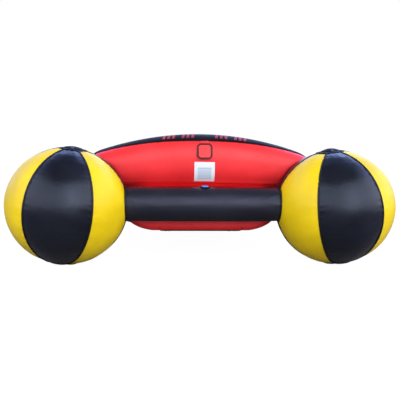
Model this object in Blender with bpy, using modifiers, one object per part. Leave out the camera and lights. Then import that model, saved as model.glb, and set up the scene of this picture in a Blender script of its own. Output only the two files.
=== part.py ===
"""A two-seat towable lounge: an inflated seat with a backrest, armrests and a nose roll, carried at the
back by two ball floats on a cross tube, and towed from a ring at the nose.

Metres, +Z up. +Y is the direction of travel, and the balls are at the back. Distances along Y in the
constants are counted forward from the balls' axis, and AXIS_Y puts the whole object's middle at y = 0.
"""

from math import asin, cos, pi, radians, sin, sqrt

import bmesh
import bpy
from mathutils import Matrix, Vector

# Fit
GAP = 0.0012  # between a skin and the curved surface under it
SEAM_GAP = 0.0006  # between two panels that are sewn edge to edge
COVER = 0.002  # coated nylon cover
BLADDER = 0.001  # PVC air bladder
BLADDER_INSET = 0.0070  # from a cover's outer face to its bladder
BLADDER_SIDES = 10  # a bladder is never seen, so it is coarser than its cover

# Valves
VALVE_HOLE = 0.0235
VALVE_FLANGE = 0.032
VALVE_NECK = 0.0222
VALVE_PLUG = 0.020
VALVE_DEPTH = 0.020
INFLATION_HOLE = 0.010  # the armrests and the nose roll take a smaller plug

# Balls
BALL_X = 0.810
BALL_RADIUS = 0.360
BALL_HALF_HEIGHT = 0.3445
BALL_Z = 0.3475
BALL_LEAN = radians(6.8)  # the tops lean inwards
BALL_TURN = radians(2.7)  # the rear panels face slightly outwards
BLACK_WIDTHS = (radians(64), radians(56), radians(56))  # rear, outer front and inner front
YELLOW_WIDTHS = (radians(60), radians(64), radians(60))  # outer, front and inner
GORE_COLUMNS = 4
GORE_ROWS = 10
GORE_POLE = radians(11)  # the panels stop short of the pole, under the cap
CAP_ANGLE = radians(14)
PATCH_ANGLE = radians(17)
PATCH_THICKNESS = 0.0044
BALL_COVER_RADIUS = 0.050
BALL_COVER_HUMP = {"left": 0.005, "right": 0.013}
BALL_COVER_WALL = 0.0025
BALL_COVER_HINGE = 0.0045  # height of its hinge line above the valve's seat

# Cross tube
TUBE_RADIUS = 0.101
TUBE_Z = 0.359
TUBE_HALF = 0.461
TUBE_BLADDER_HALF = 0.440
TUBE_SIDES = 20
TUBE_VALVE_X = 0.013
TUBE_CAP_HINGE = (0.026, 0.0042)  # forward of the valve's centre, and up from the tube

# Backrest
BACK_Z_TOP = 0.773
BACK_Z_LOW = 0.434
BACK_SAG = 0.265  # how fast the top falls towards the ends, per metre
BACK_END_SAG = 2.2  # how much faster beyond BACK_END
BACK_END = 0.62
BACK_LOW_RISE = 0.12
BACK_STRAIGHT = 0.40  # half width of the straight part of the rear face
BACK_HALF = 0.745
BACK_REAR = 0.103
BACK_FRONT = 0.440
BACK_SWEEP = 0.06  # how far the rear face comes forward at the ends
BACK_FRONT_SWEEP = 0.055  # how far the front face comes forward at the ends
BACK_POWER = 2.5
BACK_SIDES = 20
BACK_STATIONS = (0.0, 0.20, 0.40, 0.50, 0.56, 0.62, 0.68)
BACK_ROUNDING = ((0.720, 0.80), (BACK_HALF, 0.35))  # x and how far the section has drawn in
BALL_CLEARANCE = 0.007  # between a ball and the hollow that it presses into the backrest
BLADDER_CLEARANCE = 0.030  # the same for the bladder, whose flat faces are larger
PANEL_FALL = 12  # degrees that the top panel's edges draw in at the front pad's ends
PANEL_REAR_ANGLE = 48
PANEL_FRONT_ANGLE = 140
FLAP_X = 0.0165
FLAP_ANGLE = 20
FLAP_WIDTH = 0.099
FLAP_HEIGHT = 0.104
FLAP_STANDOFF = 0.0055
LABEL_X = (-0.046, 0.080)
LABEL_ANGLES = (-31, 3)
PAD_HALF = 0.50
PAD_ANGLES = (150, 205)

# Seat hull
HULL_REAR = 0.103
HULL_FRONT = 1.520
HULL_POWER = 4.2  # squareness of the section's upper half
HULL_FLAT = 0.011  # the bottom is pressed flat up to this height above its lowest point
HULL_SIDES = 20
HULL_EASE = (0.022, 0.030)  # how far the section draws in at the rear and front ends
KEEL_Z = 0.0030
KEEL_RANGE = (1.100, 1.250)
HULL_WIDTH = (
    (HULL_REAR, 0.455),
    (0.200, 0.470),
    (0.300, 0.530),
    (0.420, 0.620),
    (0.600, 0.670),
    (KEEL_RANGE[0], 0.665),
    (KEEL_RANGE[1], 0.630),
    (1.380, 0.540),
    (1.480, 0.400),
    (HULL_FRONT, 0.300),
)
HULL_BOTTOM = (
    (HULL_REAR, 0.180),
    (KEEL_RANGE[0], KEEL_Z),
    (KEEL_RANGE[1], KEEL_Z),
    (1.380, 0.050),
    (1.480, 0.150),
    (HULL_FRONT, 0.210),
)
HULL_LOW_POWER = (
    (HULL_REAR, 4.2),
    (0.200, 2.6),
    (0.300, 2.0),
    (0.420, 1.8),
    (KEEL_RANGE[1], 1.8),
    (1.380, 2.8),
    (HULL_FRONT, 4.6),
)
HULL_STATIONS = (0.125, 0.200, 0.300, 0.420, 0.600, 0.850, 1.100, 1.250, 1.380, 1.480)
DECK_REAR = (0.42, 0.430)  # y, z
DECK_FRONT = (1.34, 0.370)
DECK_TILT = asin((DECK_FRONT[1] - DECK_REAR[1]) / (DECK_FRONT[0] - DECK_REAR[0]))
KEEL_PATCH = (0.34, 0.140, 0.0025)
SEAT_PAD_WIDTH, SEAT_PAD = 0.370, 0.018
SEAT_PAD_X = 0.258
SEAT_PAD_RANGE = (0.465, 1.050)

# Armrests and nose roll
CUSHION_SIDES = 14
CUSHION_POWER = 2.3
END_STEPS = ((0.000, 0.35), (0.020, 0.72), (0.060, 1.0))  # distance in, and the share of full size
ARM_X = 0.575
ARM_HALF_WIDTH = 0.108
ARM_HALF_HEIGHT = 0.080
ARM_LIFT = 0.074
ARM_RANGE = (0.482, 1.105)
ARM_HOLE_FROM_FRONT = 0.11
ROLL_Y = 1.375
ROLL_CURVE = 0.16
ROLL_HALF = 0.620
ROLL_HALF_DEPTH = 0.120
ROLL_TAPER = 0.030
ROLL_HALF_HEIGHT = 0.080
ROLL_LIFT = 0.082

# Handles
HANDLE_LIFT = 0.0135  # hinge line above the surface
HANDLE_HALF = 0.088
HANDLE_RISE = 0.055
STRAP_WIDTH = 0.022
STRAP_THICKNESS = 0.0025
GRIP_RADIUS = 0.0170
GRIP_BORE = 0.0125
GRIP_HALF = 0.048
DECK_HANDLES = (0.62, 0.92)
ARM_HANDLE = 0.80

# Tow point
TOW_Z = 0.285
TOW_PATCH = (0.20, 0.004, 0.060)
TOW_BAR_Y = 1.580
TOW_STRAP_WIDTH = 0.040
TOW_STRAP_RADIUS = 0.0080
RING_HALF = 0.029
RING_DROP = 0.050
RING_WIRE = 0.0040

# Deck closure
ZIP_Y = 1.185
ZIP_HALF = 0.300
ZIP_TAPE = (2 * ZIP_HALF + 0.03, 0.030, 0.0016)
ZIP_SLIDER = (0.018, 0.012, 0.006)
HULL_VALVE = (0.36, 1.10)

AXIS_Y = -(TOW_BAR_Y + TOW_STRAP_RADIUS + STRAP_THICKNESS / 2 - BALL_RADIUS * cos(BALL_TURN)) / 2


def clear_scene():
    for obj in list(bpy.data.objects):
        bpy.data.objects.remove(obj)


def collection(name):
    made = bpy.data.collections.new(name)
    bpy.context.scene.collection.children.link(made)
    return made


def material(name, colour, roughness, metallic=0.0):
    made = bpy.data.materials.new(name)
    made.use_nodes = True
    shader = made.node_tree.nodes["Principled BSDF"]
    shader.inputs["Base Color"].default_value = (*colour, 1.0)
    shader.inputs["Roughness"].default_value = roughness
    shader.inputs["Metallic"].default_value = metallic
    return made


clear_scene()
PARTS = collection("towable_tube")
CUTTERS = collection("cutters")
RED = material("red_coated_nylon", (0.80, 0.02, 0.03), 0.35)
BLACK = material("black_coated_nylon", (0.012, 0.012, 0.020), 0.35)
YELLOW = material("yellow_coated_nylon", (0.86, 0.66, 0.02), 0.35)
PVC = material("clear_grey_pvc", (0.30, 0.32, 0.34), 0.40)
WEBBING = material("black_webbing", (0.015, 0.015, 0.018), 0.80)
FOAM = material("black_foam", (0.020, 0.020, 0.022), 0.90)
NEOPRENE = material("black_neoprene", (0.018, 0.018, 0.022), 0.75)
BLUE = material("blue_valve_plastic", (0.03, 0.22, 0.62), 0.35)
VALVE = material("black_valve_plastic", (0.02, 0.02, 0.02), 0.40)
WHITE = material("white_label", (0.80, 0.85, 0.90), 0.45)
STEEL = material("stainless_steel", (0.60, 0.60, 0.60), 0.25, 1.0)


def part(name, mesh, mat, parent=None, smooth=True):
    """Names a mesh, gives it its material and puts it in the object's collection."""
    obj = bpy.data.objects.new(name, mesh)
    mesh.materials.append(mat)
    PARTS.objects.link(obj)
    obj.parent = parent
    if smooth:
        mesh.shade_smooth()
        mesh.set_sharp_from_angle(angle=radians(40))
    return obj


def empty(name, location, rotation=(0.0, 0.0, 0.0), parent=None):
    made = bpy.data.objects.new(name, None)
    PARTS.objects.link(made)
    made.location = location
    made.rotation_euler = rotation
    made.parent = parent
    return made


def mesh_from(bm, name):
    mesh = bpy.data.meshes.new(name)
    bm.to_mesh(mesh)
    bm.free()
    return mesh


def loft(name, rings):
    """A closed skin through rings of points with the same count, with a flat face at both ends."""
    bm = bmesh.new()
    rows = [[bm.verts.new(point) for point in ring] for ring in rings]
    count = len(rows[0])
    for low, high in zip(rows, rows[1:]):
        for i in range(count):
            j = (i + 1) % count
            bm.faces.new((low[i], low[j], high[j], high[i]))
    bm.faces.new(rows[0])
    bm.faces.new(rows[-1])
    bmesh.ops.recalc_face_normals(bm, faces=bm.faces)
    return mesh_from(bm, name)


def box(name, size, mat, location=(0.0, 0.0, 0.0), parent=None, bevel=0.0):
    bm = bmesh.new()
    bmesh.ops.create_cube(bm, size=1.0)
    bmesh.ops.scale(bm, vec=size, verts=bm.verts)
    obj = part(name, mesh_from(bm, name), mat, parent, smooth=False)
    obj.location = location
    if bevel:
        rounding = obj.modifiers.new("rounding", "BEVEL")
        rounding.width = bevel
        rounding.segments = 2
    return obj


def turned(name, profile, mat, parent=None, steps=20):
    """A profile of (radius, height) points, top to bottom down its outer side, turned about Z."""
    mesh = bpy.data.meshes.new(name)
    closed = profile[0][0] > 0
    edges = [(i, i + 1) for i in range(len(profile) - 1)]
    if closed:
        edges.append((len(profile) - 1, 0))
    mesh.from_pydata([(r, 0.0, z) for r, z in profile], edges, [])
    obj = part(name, mesh, mat, parent, smooth=False)
    turn = obj.modifiers.new("turn", "SCREW")
    turn.axis = "Z"
    turn.steps = steps
    turn.render_steps = steps
    turn.use_merge_vertices = True
    turn.merge_threshold = 0.00001
    turn.use_smooth_shade = True
    return obj


def solidify(obj, thickness):
    """Thickness inwards from the surface that was modelled."""
    wall = obj.modifiers.new("wall", "SOLIDIFY")
    wall.thickness = thickness
    wall.offset = -1.0
    wall.use_even_offset = True


def cut(obj, cutter):
    difference = obj.modifiers.new("cut", "BOOLEAN")
    difference.operation = "DIFFERENCE"
    difference.solver = "EXACT"
    difference.object = cutter


def cutter(name, mesh, parent=None, location=(0.0, 0.0, 0.0)):
    obj = bpy.data.objects.new(name, mesh)
    CUTTERS.objects.link(obj)
    obj.parent = parent
    obj.location = location
    obj.hide_render = True
    obj.display_type = "WIRE"
    return obj


def round_cutter(name, radius, depth, parent):
    bm = bmesh.new()
    bmesh.ops.create_cone(
        bm, cap_ends=True, segments=12, radius1=radius, radius2=radius, depth=depth
    )
    return cutter(name, mesh_from(bm, name), parent)


def power(value, exponent):
    """A signed power, for superellipses."""
    size = abs(value) ** exponent
    return size if value >= 0 else -size


def blend(x, points):
    """Straight-line interpolation through (x, value) points."""
    if x <= points[0][0]:
        return points[0][1]
    for (x0, v0), (x1, v1) in zip(points, points[1:]):
        if x <= x1:
            return v0 + (v1 - v0) * (x - x0) / (x1 - x0)
    return points[-1][1]


def deck_z(y):
    """Height of the seat deck, y counted from the balls' axis."""
    (y0, z0), (y1, z1) = DECK_REAR, DECK_FRONT
    return z0 + (z1 - z0) * (y - y0) / (y1 - y0) if y > y0 else z0


# ---------------------------------------------------------------- valves


def valve(name, parent, mat, plug_height=0.003):
    """A push-in valve: a neck through cover and bladder, a flange on the cover, and a plug."""
    low, high = GAP, GAP + 0.002
    profile = [
        (0.0, high + plug_height),
        (VALVE_PLUG, high + plug_height),
        (VALVE_PLUG, high),
        (VALVE_FLANGE - 0.002, high),
        (VALVE_FLANGE, high - 0.0006),
        (VALVE_FLANGE, low),
        (VALVE_NECK, low),
        (VALVE_NECK, -VALVE_DEPTH),
        (0.0, -VALVE_DEPTH),
    ]
    return turned(name, profile, mat, parent, steps=12)


# ---------------------------------------------------------------- balls


def ball_point(side, longitude, polar, proud=0.0):
    """Longitude runs from the rear towards the outside; polar runs from the top pole."""
    across = (BALL_RADIUS + proud) * sin(polar)
    return Vector(
        (
            side * across * sin(longitude),
            -across * cos(longitude),
            (BALL_HALF_HEIGHT + proud) * cos(polar),
        )
    )


def gore(name, side, middle, width, mat, parent):
    """One panel of a ball: a grid bent onto the ball, narrower by a seam's gap."""
    bm = bmesh.new()
    bmesh.ops.create_grid(bm, x_segments=GORE_COLUMNS, y_segments=GORE_ROWS, size=1.0)
    inset = SEAM_GAP / 2 / BALL_RADIUS
    for vert in bm.verts:
        polar = pi / 2 - vert.co.y * (pi / 2 - GORE_POLE)
        half = width / 2 - inset / max(sin(polar), 0.2)
        vert.co = ball_point(side, middle + vert.co.x * half, polar)
    bm.normal_update()
    if sum(face.normal.dot(face.calc_center_median()) for face in bm.faces) < 0:
        bmesh.ops.reverse_faces(bm, faces=bm.faces)
    obj = part(name, mesh_from(bm, name), mat, parent)
    solidify(obj, COVER)
    return obj


def ball_bladder(name, parent, hole):
    bm = bmesh.new()
    bmesh.ops.create_uvsphere(bm, u_segments=12, v_segments=8, radius=1.0)
    inset = COVER + BLADDER_INSET
    size = (BALL_RADIUS - inset, BALL_RADIUS - inset, BALL_HALF_HEIGHT - inset)
    bmesh.ops.scale(bm, vec=size, verts=bm.verts)
    obj = part(name, mesh_from(bm, name), PVC, parent)
    solidify(obj, BLADDER)
    cut(obj, hole)
    return obj


def dome(name, angles, thickness, mat, parent, steps=16):
    """A cap that lies over the panels' ends, between two polar angles."""
    low, high = GAP, GAP + thickness
    rows = 3
    stations = [angles[0] + (angles[1] - angles[0]) * i / rows for i in range(rows + 1)]

    def at(polar, proud):
        return ((BALL_RADIUS + proud) * sin(polar), (BALL_HALF_HEIGHT + proud) * cos(polar))

    outer = [at(a, high) for a in stations]
    inner = [at(a, low) for a in reversed(stations)]
    return turned(name, outer + inner, mat, parent, steps)


def base_patch(name, centre, floor_cutter):
    """The bottom cap, cut flat where the ball stands on it."""
    bottom = empty(name + "_axis", (0, 0, 0), (pi, 0, 0), centre)
    obj = dome(name, (0.0, PATCH_ANGLE), PATCH_THICKNESS, BLACK, bottom)
    cut(obj, floor_cutter)
    return obj


def ball_valve_cover(name, hump, parent):
    """A domed flap over the valve. Its origin is the hinge line at its front edge."""
    r, wall = BALL_COVER_RADIUS, BALL_COVER_WALL
    profile = [
        (0.0, hump + wall),
        (0.5 * r, 0.85 * hump + wall),
        (0.85 * r, 0.35 * hump + wall),
        (r, wall),
        (r, 0.0),
        (0.80 * r, 0.35 * hump),
        (0.5 * r, 0.85 * hump),
        (0.0, hump),
    ]
    obj = turned(name, profile, BLACK, parent, steps=16)
    obj.location = (0.0, -r, 0.0)
    return obj


def make_ball(word, side):
    centre = empty(
        f"ball_{word}", (side * BALL_X, AXIS_Y, BALL_Z), (0, -side * BALL_LEAN, 0)
    )
    top = empty(f"ball_{word}_pole", (0, 0, BALL_HALF_HEIGHT), (0, 0, 0), centre)
    hole = round_cutter(f"ball_{word}_valve_hole", VALVE_HOLE, 0.08, top)
    ball_bladder(f"ball_{word}_bladder", centre, hole)
    edge = BALL_TURN - BLACK_WIDTHS[0] / 2
    for k in range(3):
        for colour, widths, mat in (
            ("black", BLACK_WIDTHS, BLACK),
            ("yellow", YELLOW_WIDTHS, YELLOW),
        ):
            name = f"ball_{word}_{colour}_panel_{k + 1}"
            gore(name, side, edge + widths[k] / 2, widths[k], mat, centre)
            edge += widths[k]
    pole_hole = asin((VALVE_HOLE + 0.001) / BALL_RADIUS)
    dome(f"ball_{word}_top_cap", (pole_hole, CAP_ANGLE), COVER, BLACK, centre)
    plane = bmesh.new()
    bmesh.ops.create_cube(plane, size=0.5)
    floor = cutter(
        f"ball_{word}_floor",
        mesh_from(plane, f"ball_{word}_floor"),
        location=(side * BALL_X, AXIS_Y, -0.25),
    )
    base_patch(f"ball_{word}_base_patch", centre, floor)
    seat = empty(f"ball_{word}_valve_seat", (0, 0, GAP + COVER), (0, 0, 0), top)
    valve(f"ball_{word}_valve", seat, VALVE, plug_height=0.0008)
    hinge = empty(
        f"ball_{word}_cover_hinge", (0, BALL_COVER_RADIUS, BALL_COVER_HINGE), (0, 0, 0), seat
    )
    ball_valve_cover(f"ball_{word}_valve_cover", BALL_COVER_HUMP[word], hinge)


# ---------------------------------------------------------------- cross tube


def tube_skin(name, radius, half, thickness, mat):
    rings = []
    for x in (-half, half):
        angles = [2 * pi * i / TUBE_SIDES for i in range(TUBE_SIDES)]
        rings.append([(x, AXIS_Y + radius * cos(a), TUBE_Z + radius * sin(a)) for a in angles])
    obj = part(name, loft(name, rings), mat)
    solidify(obj, thickness)
    return obj


def make_cross_tube():
    """The sleeve is open at both ends, where it is sewn to the balls."""
    sleeve = tube_skin("cross_tube_sleeve", TUBE_RADIUS, TUBE_HALF, COVER, BLACK)
    bore = bmesh.new()
    turn = Matrix.Rotation(pi / 2, 4, "Y")
    bmesh.ops.create_cone(
        bore,
        cap_ends=True,
        segments=TUBE_SIDES,
        radius1=TUBE_RADIUS - 2 * COVER,
        radius2=TUBE_RADIUS - 2 * COVER,
        depth=2 * TUBE_HALF + 0.1,
        matrix=turn,
    )
    ends = cutter("cross_tube_bore", mesh_from(bore, "cross_tube_bore"))
    ends.location = (0, AXIS_Y, TUBE_Z)
    cut(sleeve, ends)
    bladder = tube_skin(
        "cross_tube_bladder", TUBE_RADIUS - BLADDER_INSET, TUBE_BLADDER_HALF, BLADDER, PVC
    )
    seat = empty("cross_tube_valve_seat", (TUBE_VALVE_X, AXIS_Y, TUBE_Z + TUBE_RADIUS))
    hole = round_cutter("cross_tube_valve_hole", VALVE_HOLE, 0.05, seat)
    cut(sleeve, hole)
    cut(bladder, hole)
    valve("cross_tube_valve", seat, VALVE, plug_height=0.0005)
    forward, up = TUBE_CAP_HINGE
    hinge = empty("cross_tube_cap_hinge", (0.0, forward, up), parent=seat)
    cap = [(0.0, 0.0055), (0.017, 0.0055), (0.020, 0.0040), (0.021, 0.0), (0.0, 0.0)]
    obj = turned("cross_tube_valve_cap", cap, BLUE, hinge, steps=16)
    obj.location = (0.0, -forward, 0.0)


# ---------------------------------------------------------------- backrest


def back_section(x):
    """Centre and half sizes of the backrest's section at x: (y, z, half depth, half height)."""
    far = abs(x)
    top = BACK_Z_TOP - BACK_SAG * far * far - BACK_END_SAG * max(0.0, far - BACK_END) ** 2
    low = BACK_Z_LOW + BACK_LOW_RISE * max(0.0, far - BACK_STRAIGHT)
    bend = (max(0.0, far - BACK_STRAIGHT) / 0.35) ** 2
    rear = BACK_REAR + BACK_SWEEP * bend
    front = BACK_FRONT + BACK_FRONT_SWEEP * bend
    return (rear + front) / 2, (top + low) / 2, (front - rear) / 2, (top - low) / 2


def clear_of_balls(point, clearance):
    """The point, moved forward if need be until it is clear of the balls."""
    sideways = abs(point.x) - BALL_X
    upwards = (point.z - BALL_Z) * BALL_RADIUS / BALL_HALF_HEIGHT
    room = (BALL_RADIUS + clearance) ** 2 - sideways**2 - upwards**2
    if room > 0:
        point.y = max(point.y, AXIS_Y + sqrt(room))
    return point


def back_point(x, angle, proud=0.0, shrink=1.0, clearance=BALL_CLEARANCE):
    """A point on the backrest. The angle is 0 at the rear, 90 at the top and 180 at the front."""
    y, z, depth, height = back_section(x)
    c, s = cos(radians(angle)), sin(radians(angle))
    along, up = power(c, 2 / BACK_POWER), power(s, 2 / BACK_POWER)
    normal = Vector((0, -power(c, 2 - 2 / BACK_POWER) / depth, power(s, 2 - 2 / BACK_POWER) / height))
    point = Vector((x, AXIS_Y + y - depth * shrink * along, z + height * shrink * up))
    return clear_of_balls(point + proud * normal.normalized(), clearance)


def back_rings(inset, sides, clearance):
    angles = [360 * i / sides for i in range(sides)]
    half = [(x, 1.0) for x in BACK_STATIONS]
    half += [(x - inset, shrink) for x, shrink in BACK_ROUNDING]
    stations = [(-x, shrink) for x, shrink in reversed(half[1:])] + half
    return [
        [back_point(x, a, -inset, shrink, clearance) for a in angles] for x, shrink in stations
    ]


def back_strip(name, stations, angles_at, columns, proud, thickness, mat):
    """A panel that lies on the backrest, its angles shared out evenly between its two edges."""
    rings = []
    for x in stations:
        low, high = angles_at(x)
        angles = [low + (high - low) * i / columns for i in range(columns + 1)]
        outer = [back_point(x, a, proud + thickness) for a in angles]
        inner = [back_point(x, a, proud) for a in reversed(angles)]
        rings.append(outer + inner)
    return part(name, loft(name, rings), mat)


def panel_angles(x):
    fall = PANEL_FALL * (abs(x) / PAD_HALF) ** 1.6
    return PANEL_REAR_ANGLE + fall, PANEL_FRONT_ANGLE - fall


def make_backrest():
    outer = loft("backrest_cover", back_rings(0.0, BACK_SIDES, BALL_CLEARANCE))
    cover = part("backrest_cover", outer, RED)
    inner = loft("backrest_bladder", back_rings(BLADDER_INSET, BLADDER_SIDES, BLADDER_CLEARANCE))
    bladder = part("backrest_bladder", inner, PVC)
    at = back_point(FLAP_X, FLAP_ANGLE)
    up = back_point(FLAP_X, FLAP_ANGLE + 1) - back_point(FLAP_X, FLAP_ANGLE - 1)
    tilt = Vector((0, up.y, up.z)).normalized()
    lean = pi / 2 - asin(tilt.y)
    seat = empty("backrest_valve_seat", at, (lean, 0, 0))
    hole = round_cutter("backrest_valve_hole", VALVE_HOLE, 0.06, seat)
    for obj, wall in ((cover, COVER), (bladder, BLADDER)):
        solidify(obj, wall)
        cut(obj, hole)
    valve("backrest_valve", seat, VALVE, plug_height=0.0005)
    hinge = empty(
        "backrest_flap_hinge", (0, FLAP_HEIGHT / 2, FLAP_STANDOFF), parent=seat
    )
    box(
        "backrest_valve_flap",
        (FLAP_WIDTH, FLAP_HEIGHT, 0.002),
        RED,
        (0, -FLAP_HEIGHT / 2, 0),
        hinge,
    )
    wide = [-x for x in reversed(BACK_STATIONS[1:])] + list(BACK_STATIONS)
    narrow = [x for x in wide if abs(x) <= PAD_HALF]
    label = (LABEL_X[0], 0.0, LABEL_X[1])
    back_strip("backrest_top_panel", wide, panel_angles, 7, 0.0030, 0.0015, BLACK)
    back_strip("backrest_front_pad", narrow, lambda x: PAD_ANGLES, 4, 0.0035, 0.016, NEOPRENE)
    back_strip("backrest_label", label, lambda x: LABEL_ANGLES, 3, 0.0010, 0.0008, WHITE)


# ---------------------------------------------------------------- seat hull


def hull_ring(y, inset, sides, ease=0.0):
    """A rounded section of the hull. ease draws it in, for the rounding at its two ends."""
    half = blend(y, HULL_WIDTH) - inset - ease
    top = deck_z(y) - inset - ease
    low = blend(y, HULL_BOTTOM) + inset + ease
    middle, height = (top + low) / 2, (top - low) / 2
    points = []
    for i in range(sides):
        t = 2 * pi * i / sides
        exponent = 2 / (HULL_POWER if sin(t) > 0 else blend(y, HULL_LOW_POWER))
        x = half * power(cos(t), exponent)
        z = middle + height * power(sin(t), exponent)
        points.append((x, AXIS_Y + y, low if z < low + HULL_FLAT else z))
    return points


def hull_rings(inset, sides):
    rear_ease, front_ease = HULL_EASE
    rings = [hull_ring(HULL_REAR + inset, inset, sides, rear_ease)]
    rings += [hull_ring(y, inset, sides) for y in HULL_STATIONS]
    rings.append(hull_ring(HULL_FRONT - inset, inset, sides, front_ease))
    return rings


def make_hull():
    cover = part("hull_cover", loft("hull_cover", hull_rings(0.0, HULL_SIDES)), RED)
    inner = loft("hull_bladder", hull_rings(BLADDER_INSET, BLADDER_SIDES))
    bladder = part("hull_bladder", inner, PVC)
    x, y = HULL_VALVE
    seat = empty("hull_valve_seat", (x, AXIS_Y + y, deck_z(y)), (DECK_TILT, 0, 0))
    hole = round_cutter("hull_valve_hole", VALVE_HOLE, 0.05, seat)
    for obj, wall in ((cover, COVER), (bladder, BLADDER)):
        solidify(obj, wall)
        cut(obj, hole)
    valve("hull_valve", seat, VALVE)
    keel_y = sum(KEEL_RANGE) / 2
    box("keel_patch", KEEL_PATCH, BLACK, (0, AXIS_Y + keel_y, KEEL_PATCH[2] / 2))
    rear, front = SEAT_PAD_RANGE
    y = (rear + front) / 2
    for word, side in (("left", -1), ("right", 1)):
        frame = empty(f"seat_pad_{word}_frame", (0, AXIS_Y + y, deck_z(y)), (DECK_TILT, 0, 0))
        size = (SEAT_PAD_WIDTH, front - rear, SEAT_PAD)
        place = (side * SEAT_PAD_X, 0, SEAT_PAD / 2 + SEAM_GAP)
        box(f"seat_pad_{word}", size, NEOPRENE, place, frame, bevel=0.006)
    zipper = empty("zip_frame", (0, AXIS_Y + ZIP_Y, deck_z(ZIP_Y)), (DECK_TILT, 0, 0))
    tape_top = SEAM_GAP + ZIP_TAPE[2]
    box("zip_tape", ZIP_TAPE, WEBBING, (0, 0, tape_top - ZIP_TAPE[2] / 2), zipper)
    start = empty("zip_slider_start", (-ZIP_HALF + 0.012, 0, tape_top + 0.0004), parent=zipper)
    box("zip_slider", ZIP_SLIDER, STEEL, (0, 0, ZIP_SLIDER[2] / 2), start, bevel=0.001)


# ---------------------------------------------------------------- armrests and nose roll


def cushion_ring(centre, across, half_across, half_height, sides):
    points = []
    for i in range(sides):
        t = 2 * pi * i / sides
        u = half_across * power(cos(t), 2 / CUSHION_POWER)
        v = half_height * power(sin(t), 2 / CUSHION_POWER)
        points.append(Vector(centre) + u * Vector(across) + Vector((0, 0, v)))
    return points


def arm_rings(side, inset, sides):
    rings = []
    start, stop = ARM_RANGE
    stations = [(start + d, s) for d, s in END_STEPS] + [((start + stop) / 2, 1.0)]
    stations += [(stop - d, s) for d, s in reversed(END_STEPS)]
    for i, (y, shrink) in enumerate(stations):
        y += inset * (1 if i < 3 else -1 if i > 3 else 0)
        centre = (side * ARM_X, AXIS_Y + y, deck_z(y) + ARM_LIFT)
        width = (ARM_HALF_WIDTH - inset) * shrink
        height = (ARM_HALF_HEIGHT - inset) * shrink
        rings.append(cushion_ring(centre, (1, 0, 0), width, height, sides))
    return rings


def make_arm(word, side):
    name = f"armrest_{word}"
    outer = loft(f"{name}_cover", arm_rings(side, 0.0, CUSHION_SIDES))
    cover = part(f"{name}_cover", outer, RED)
    inner = loft(f"{name}_bladder", arm_rings(side, BLADDER_INSET, BLADDER_SIDES))
    bladder = part(f"{name}_bladder", inner, PVC)
    front_y = ARM_RANGE[1] - ARM_HOLE_FROM_FRONT
    at = (side * ARM_X, AXIS_Y + front_y, deck_z(front_y) + ARM_LIFT + ARM_HALF_HEIGHT)
    seat = empty(f"{name}_inflation", at)
    hole = round_cutter(f"{name}_inflation_hole", INFLATION_HOLE, 0.05, seat)
    for obj, wall in ((cover, COVER), (bladder, BLADDER)):
        solidify(obj, wall)
        cut(obj, hole)


def roll_rings(inset, sides):
    rings = []
    half = [(ROLL_HALF - d, s) for d, s in END_STEPS] + [(0.40, 1.0), (0.20, 1.0)]
    stations = [(-x, s) for x, s in half] + [(0.0, 1.0)] + [(x, s) for x, s in reversed(half)]
    for x, shrink in stations:
        y = ROLL_Y - ROLL_CURVE * (x / ROLL_HALF) ** 2
        slope = -2 * ROLL_CURVE * x / ROLL_HALF**2
        depth = (ROLL_HALF_DEPTH - ROLL_TAPER * (abs(x) / ROLL_HALF) ** 2 - inset) * shrink
        height = (ROLL_HALF_HEIGHT - inset) * shrink
        across = Vector((-slope, 1, 0)).normalized()
        reach = x * (1 - inset / ROLL_HALF)
        centre = (reach, AXIS_Y + y, deck_z(ROLL_Y) + ROLL_LIFT)
        rings.append(cushion_ring(centre, across, depth, height, sides))
    return rings


def make_nose_roll():
    outer = loft("nose_roll_cover", roll_rings(0.0, CUSHION_SIDES))
    cover = part("nose_roll_cover", outer, RED)
    inner = loft("nose_roll_bladder", roll_rings(BLADDER_INSET, BLADDER_SIDES))
    bladder = part("nose_roll_bladder", inner, PVC)
    top = deck_z(ROLL_Y) + ROLL_LIFT + ROLL_HALF_HEIGHT
    seat = empty("nose_roll_inflation", (0, AXIS_Y + ROLL_Y, top))
    hole = round_cutter("nose_roll_inflation_hole", INFLATION_HOLE, 0.05, seat)
    for obj, wall in ((cover, COVER), (bladder, BLADDER)):
        solidify(obj, wall)
        cut(obj, hole)


# ---------------------------------------------------------------- handles and tow point


def ribbon(path, width, thickness):
    """Rings of a flat strap along a path in the YZ plane, its width along X."""
    rings = []
    for i, (y, z) in enumerate(path):
        y0, z0 = path[max(i - 1, 0)]
        y1, z1 = path[min(i + 1, len(path) - 1)]
        along = Vector((0, y1 - y0, z1 - z0)).normalized()
        off = Vector((0, -along.z, along.y)) * thickness / 2
        side = Vector((width / 2, 0, 0))
        at = Vector((0, y, z))
        rings.append([at - side - off, at + side - off, at + side + off, at - side + off])
    return rings


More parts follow.
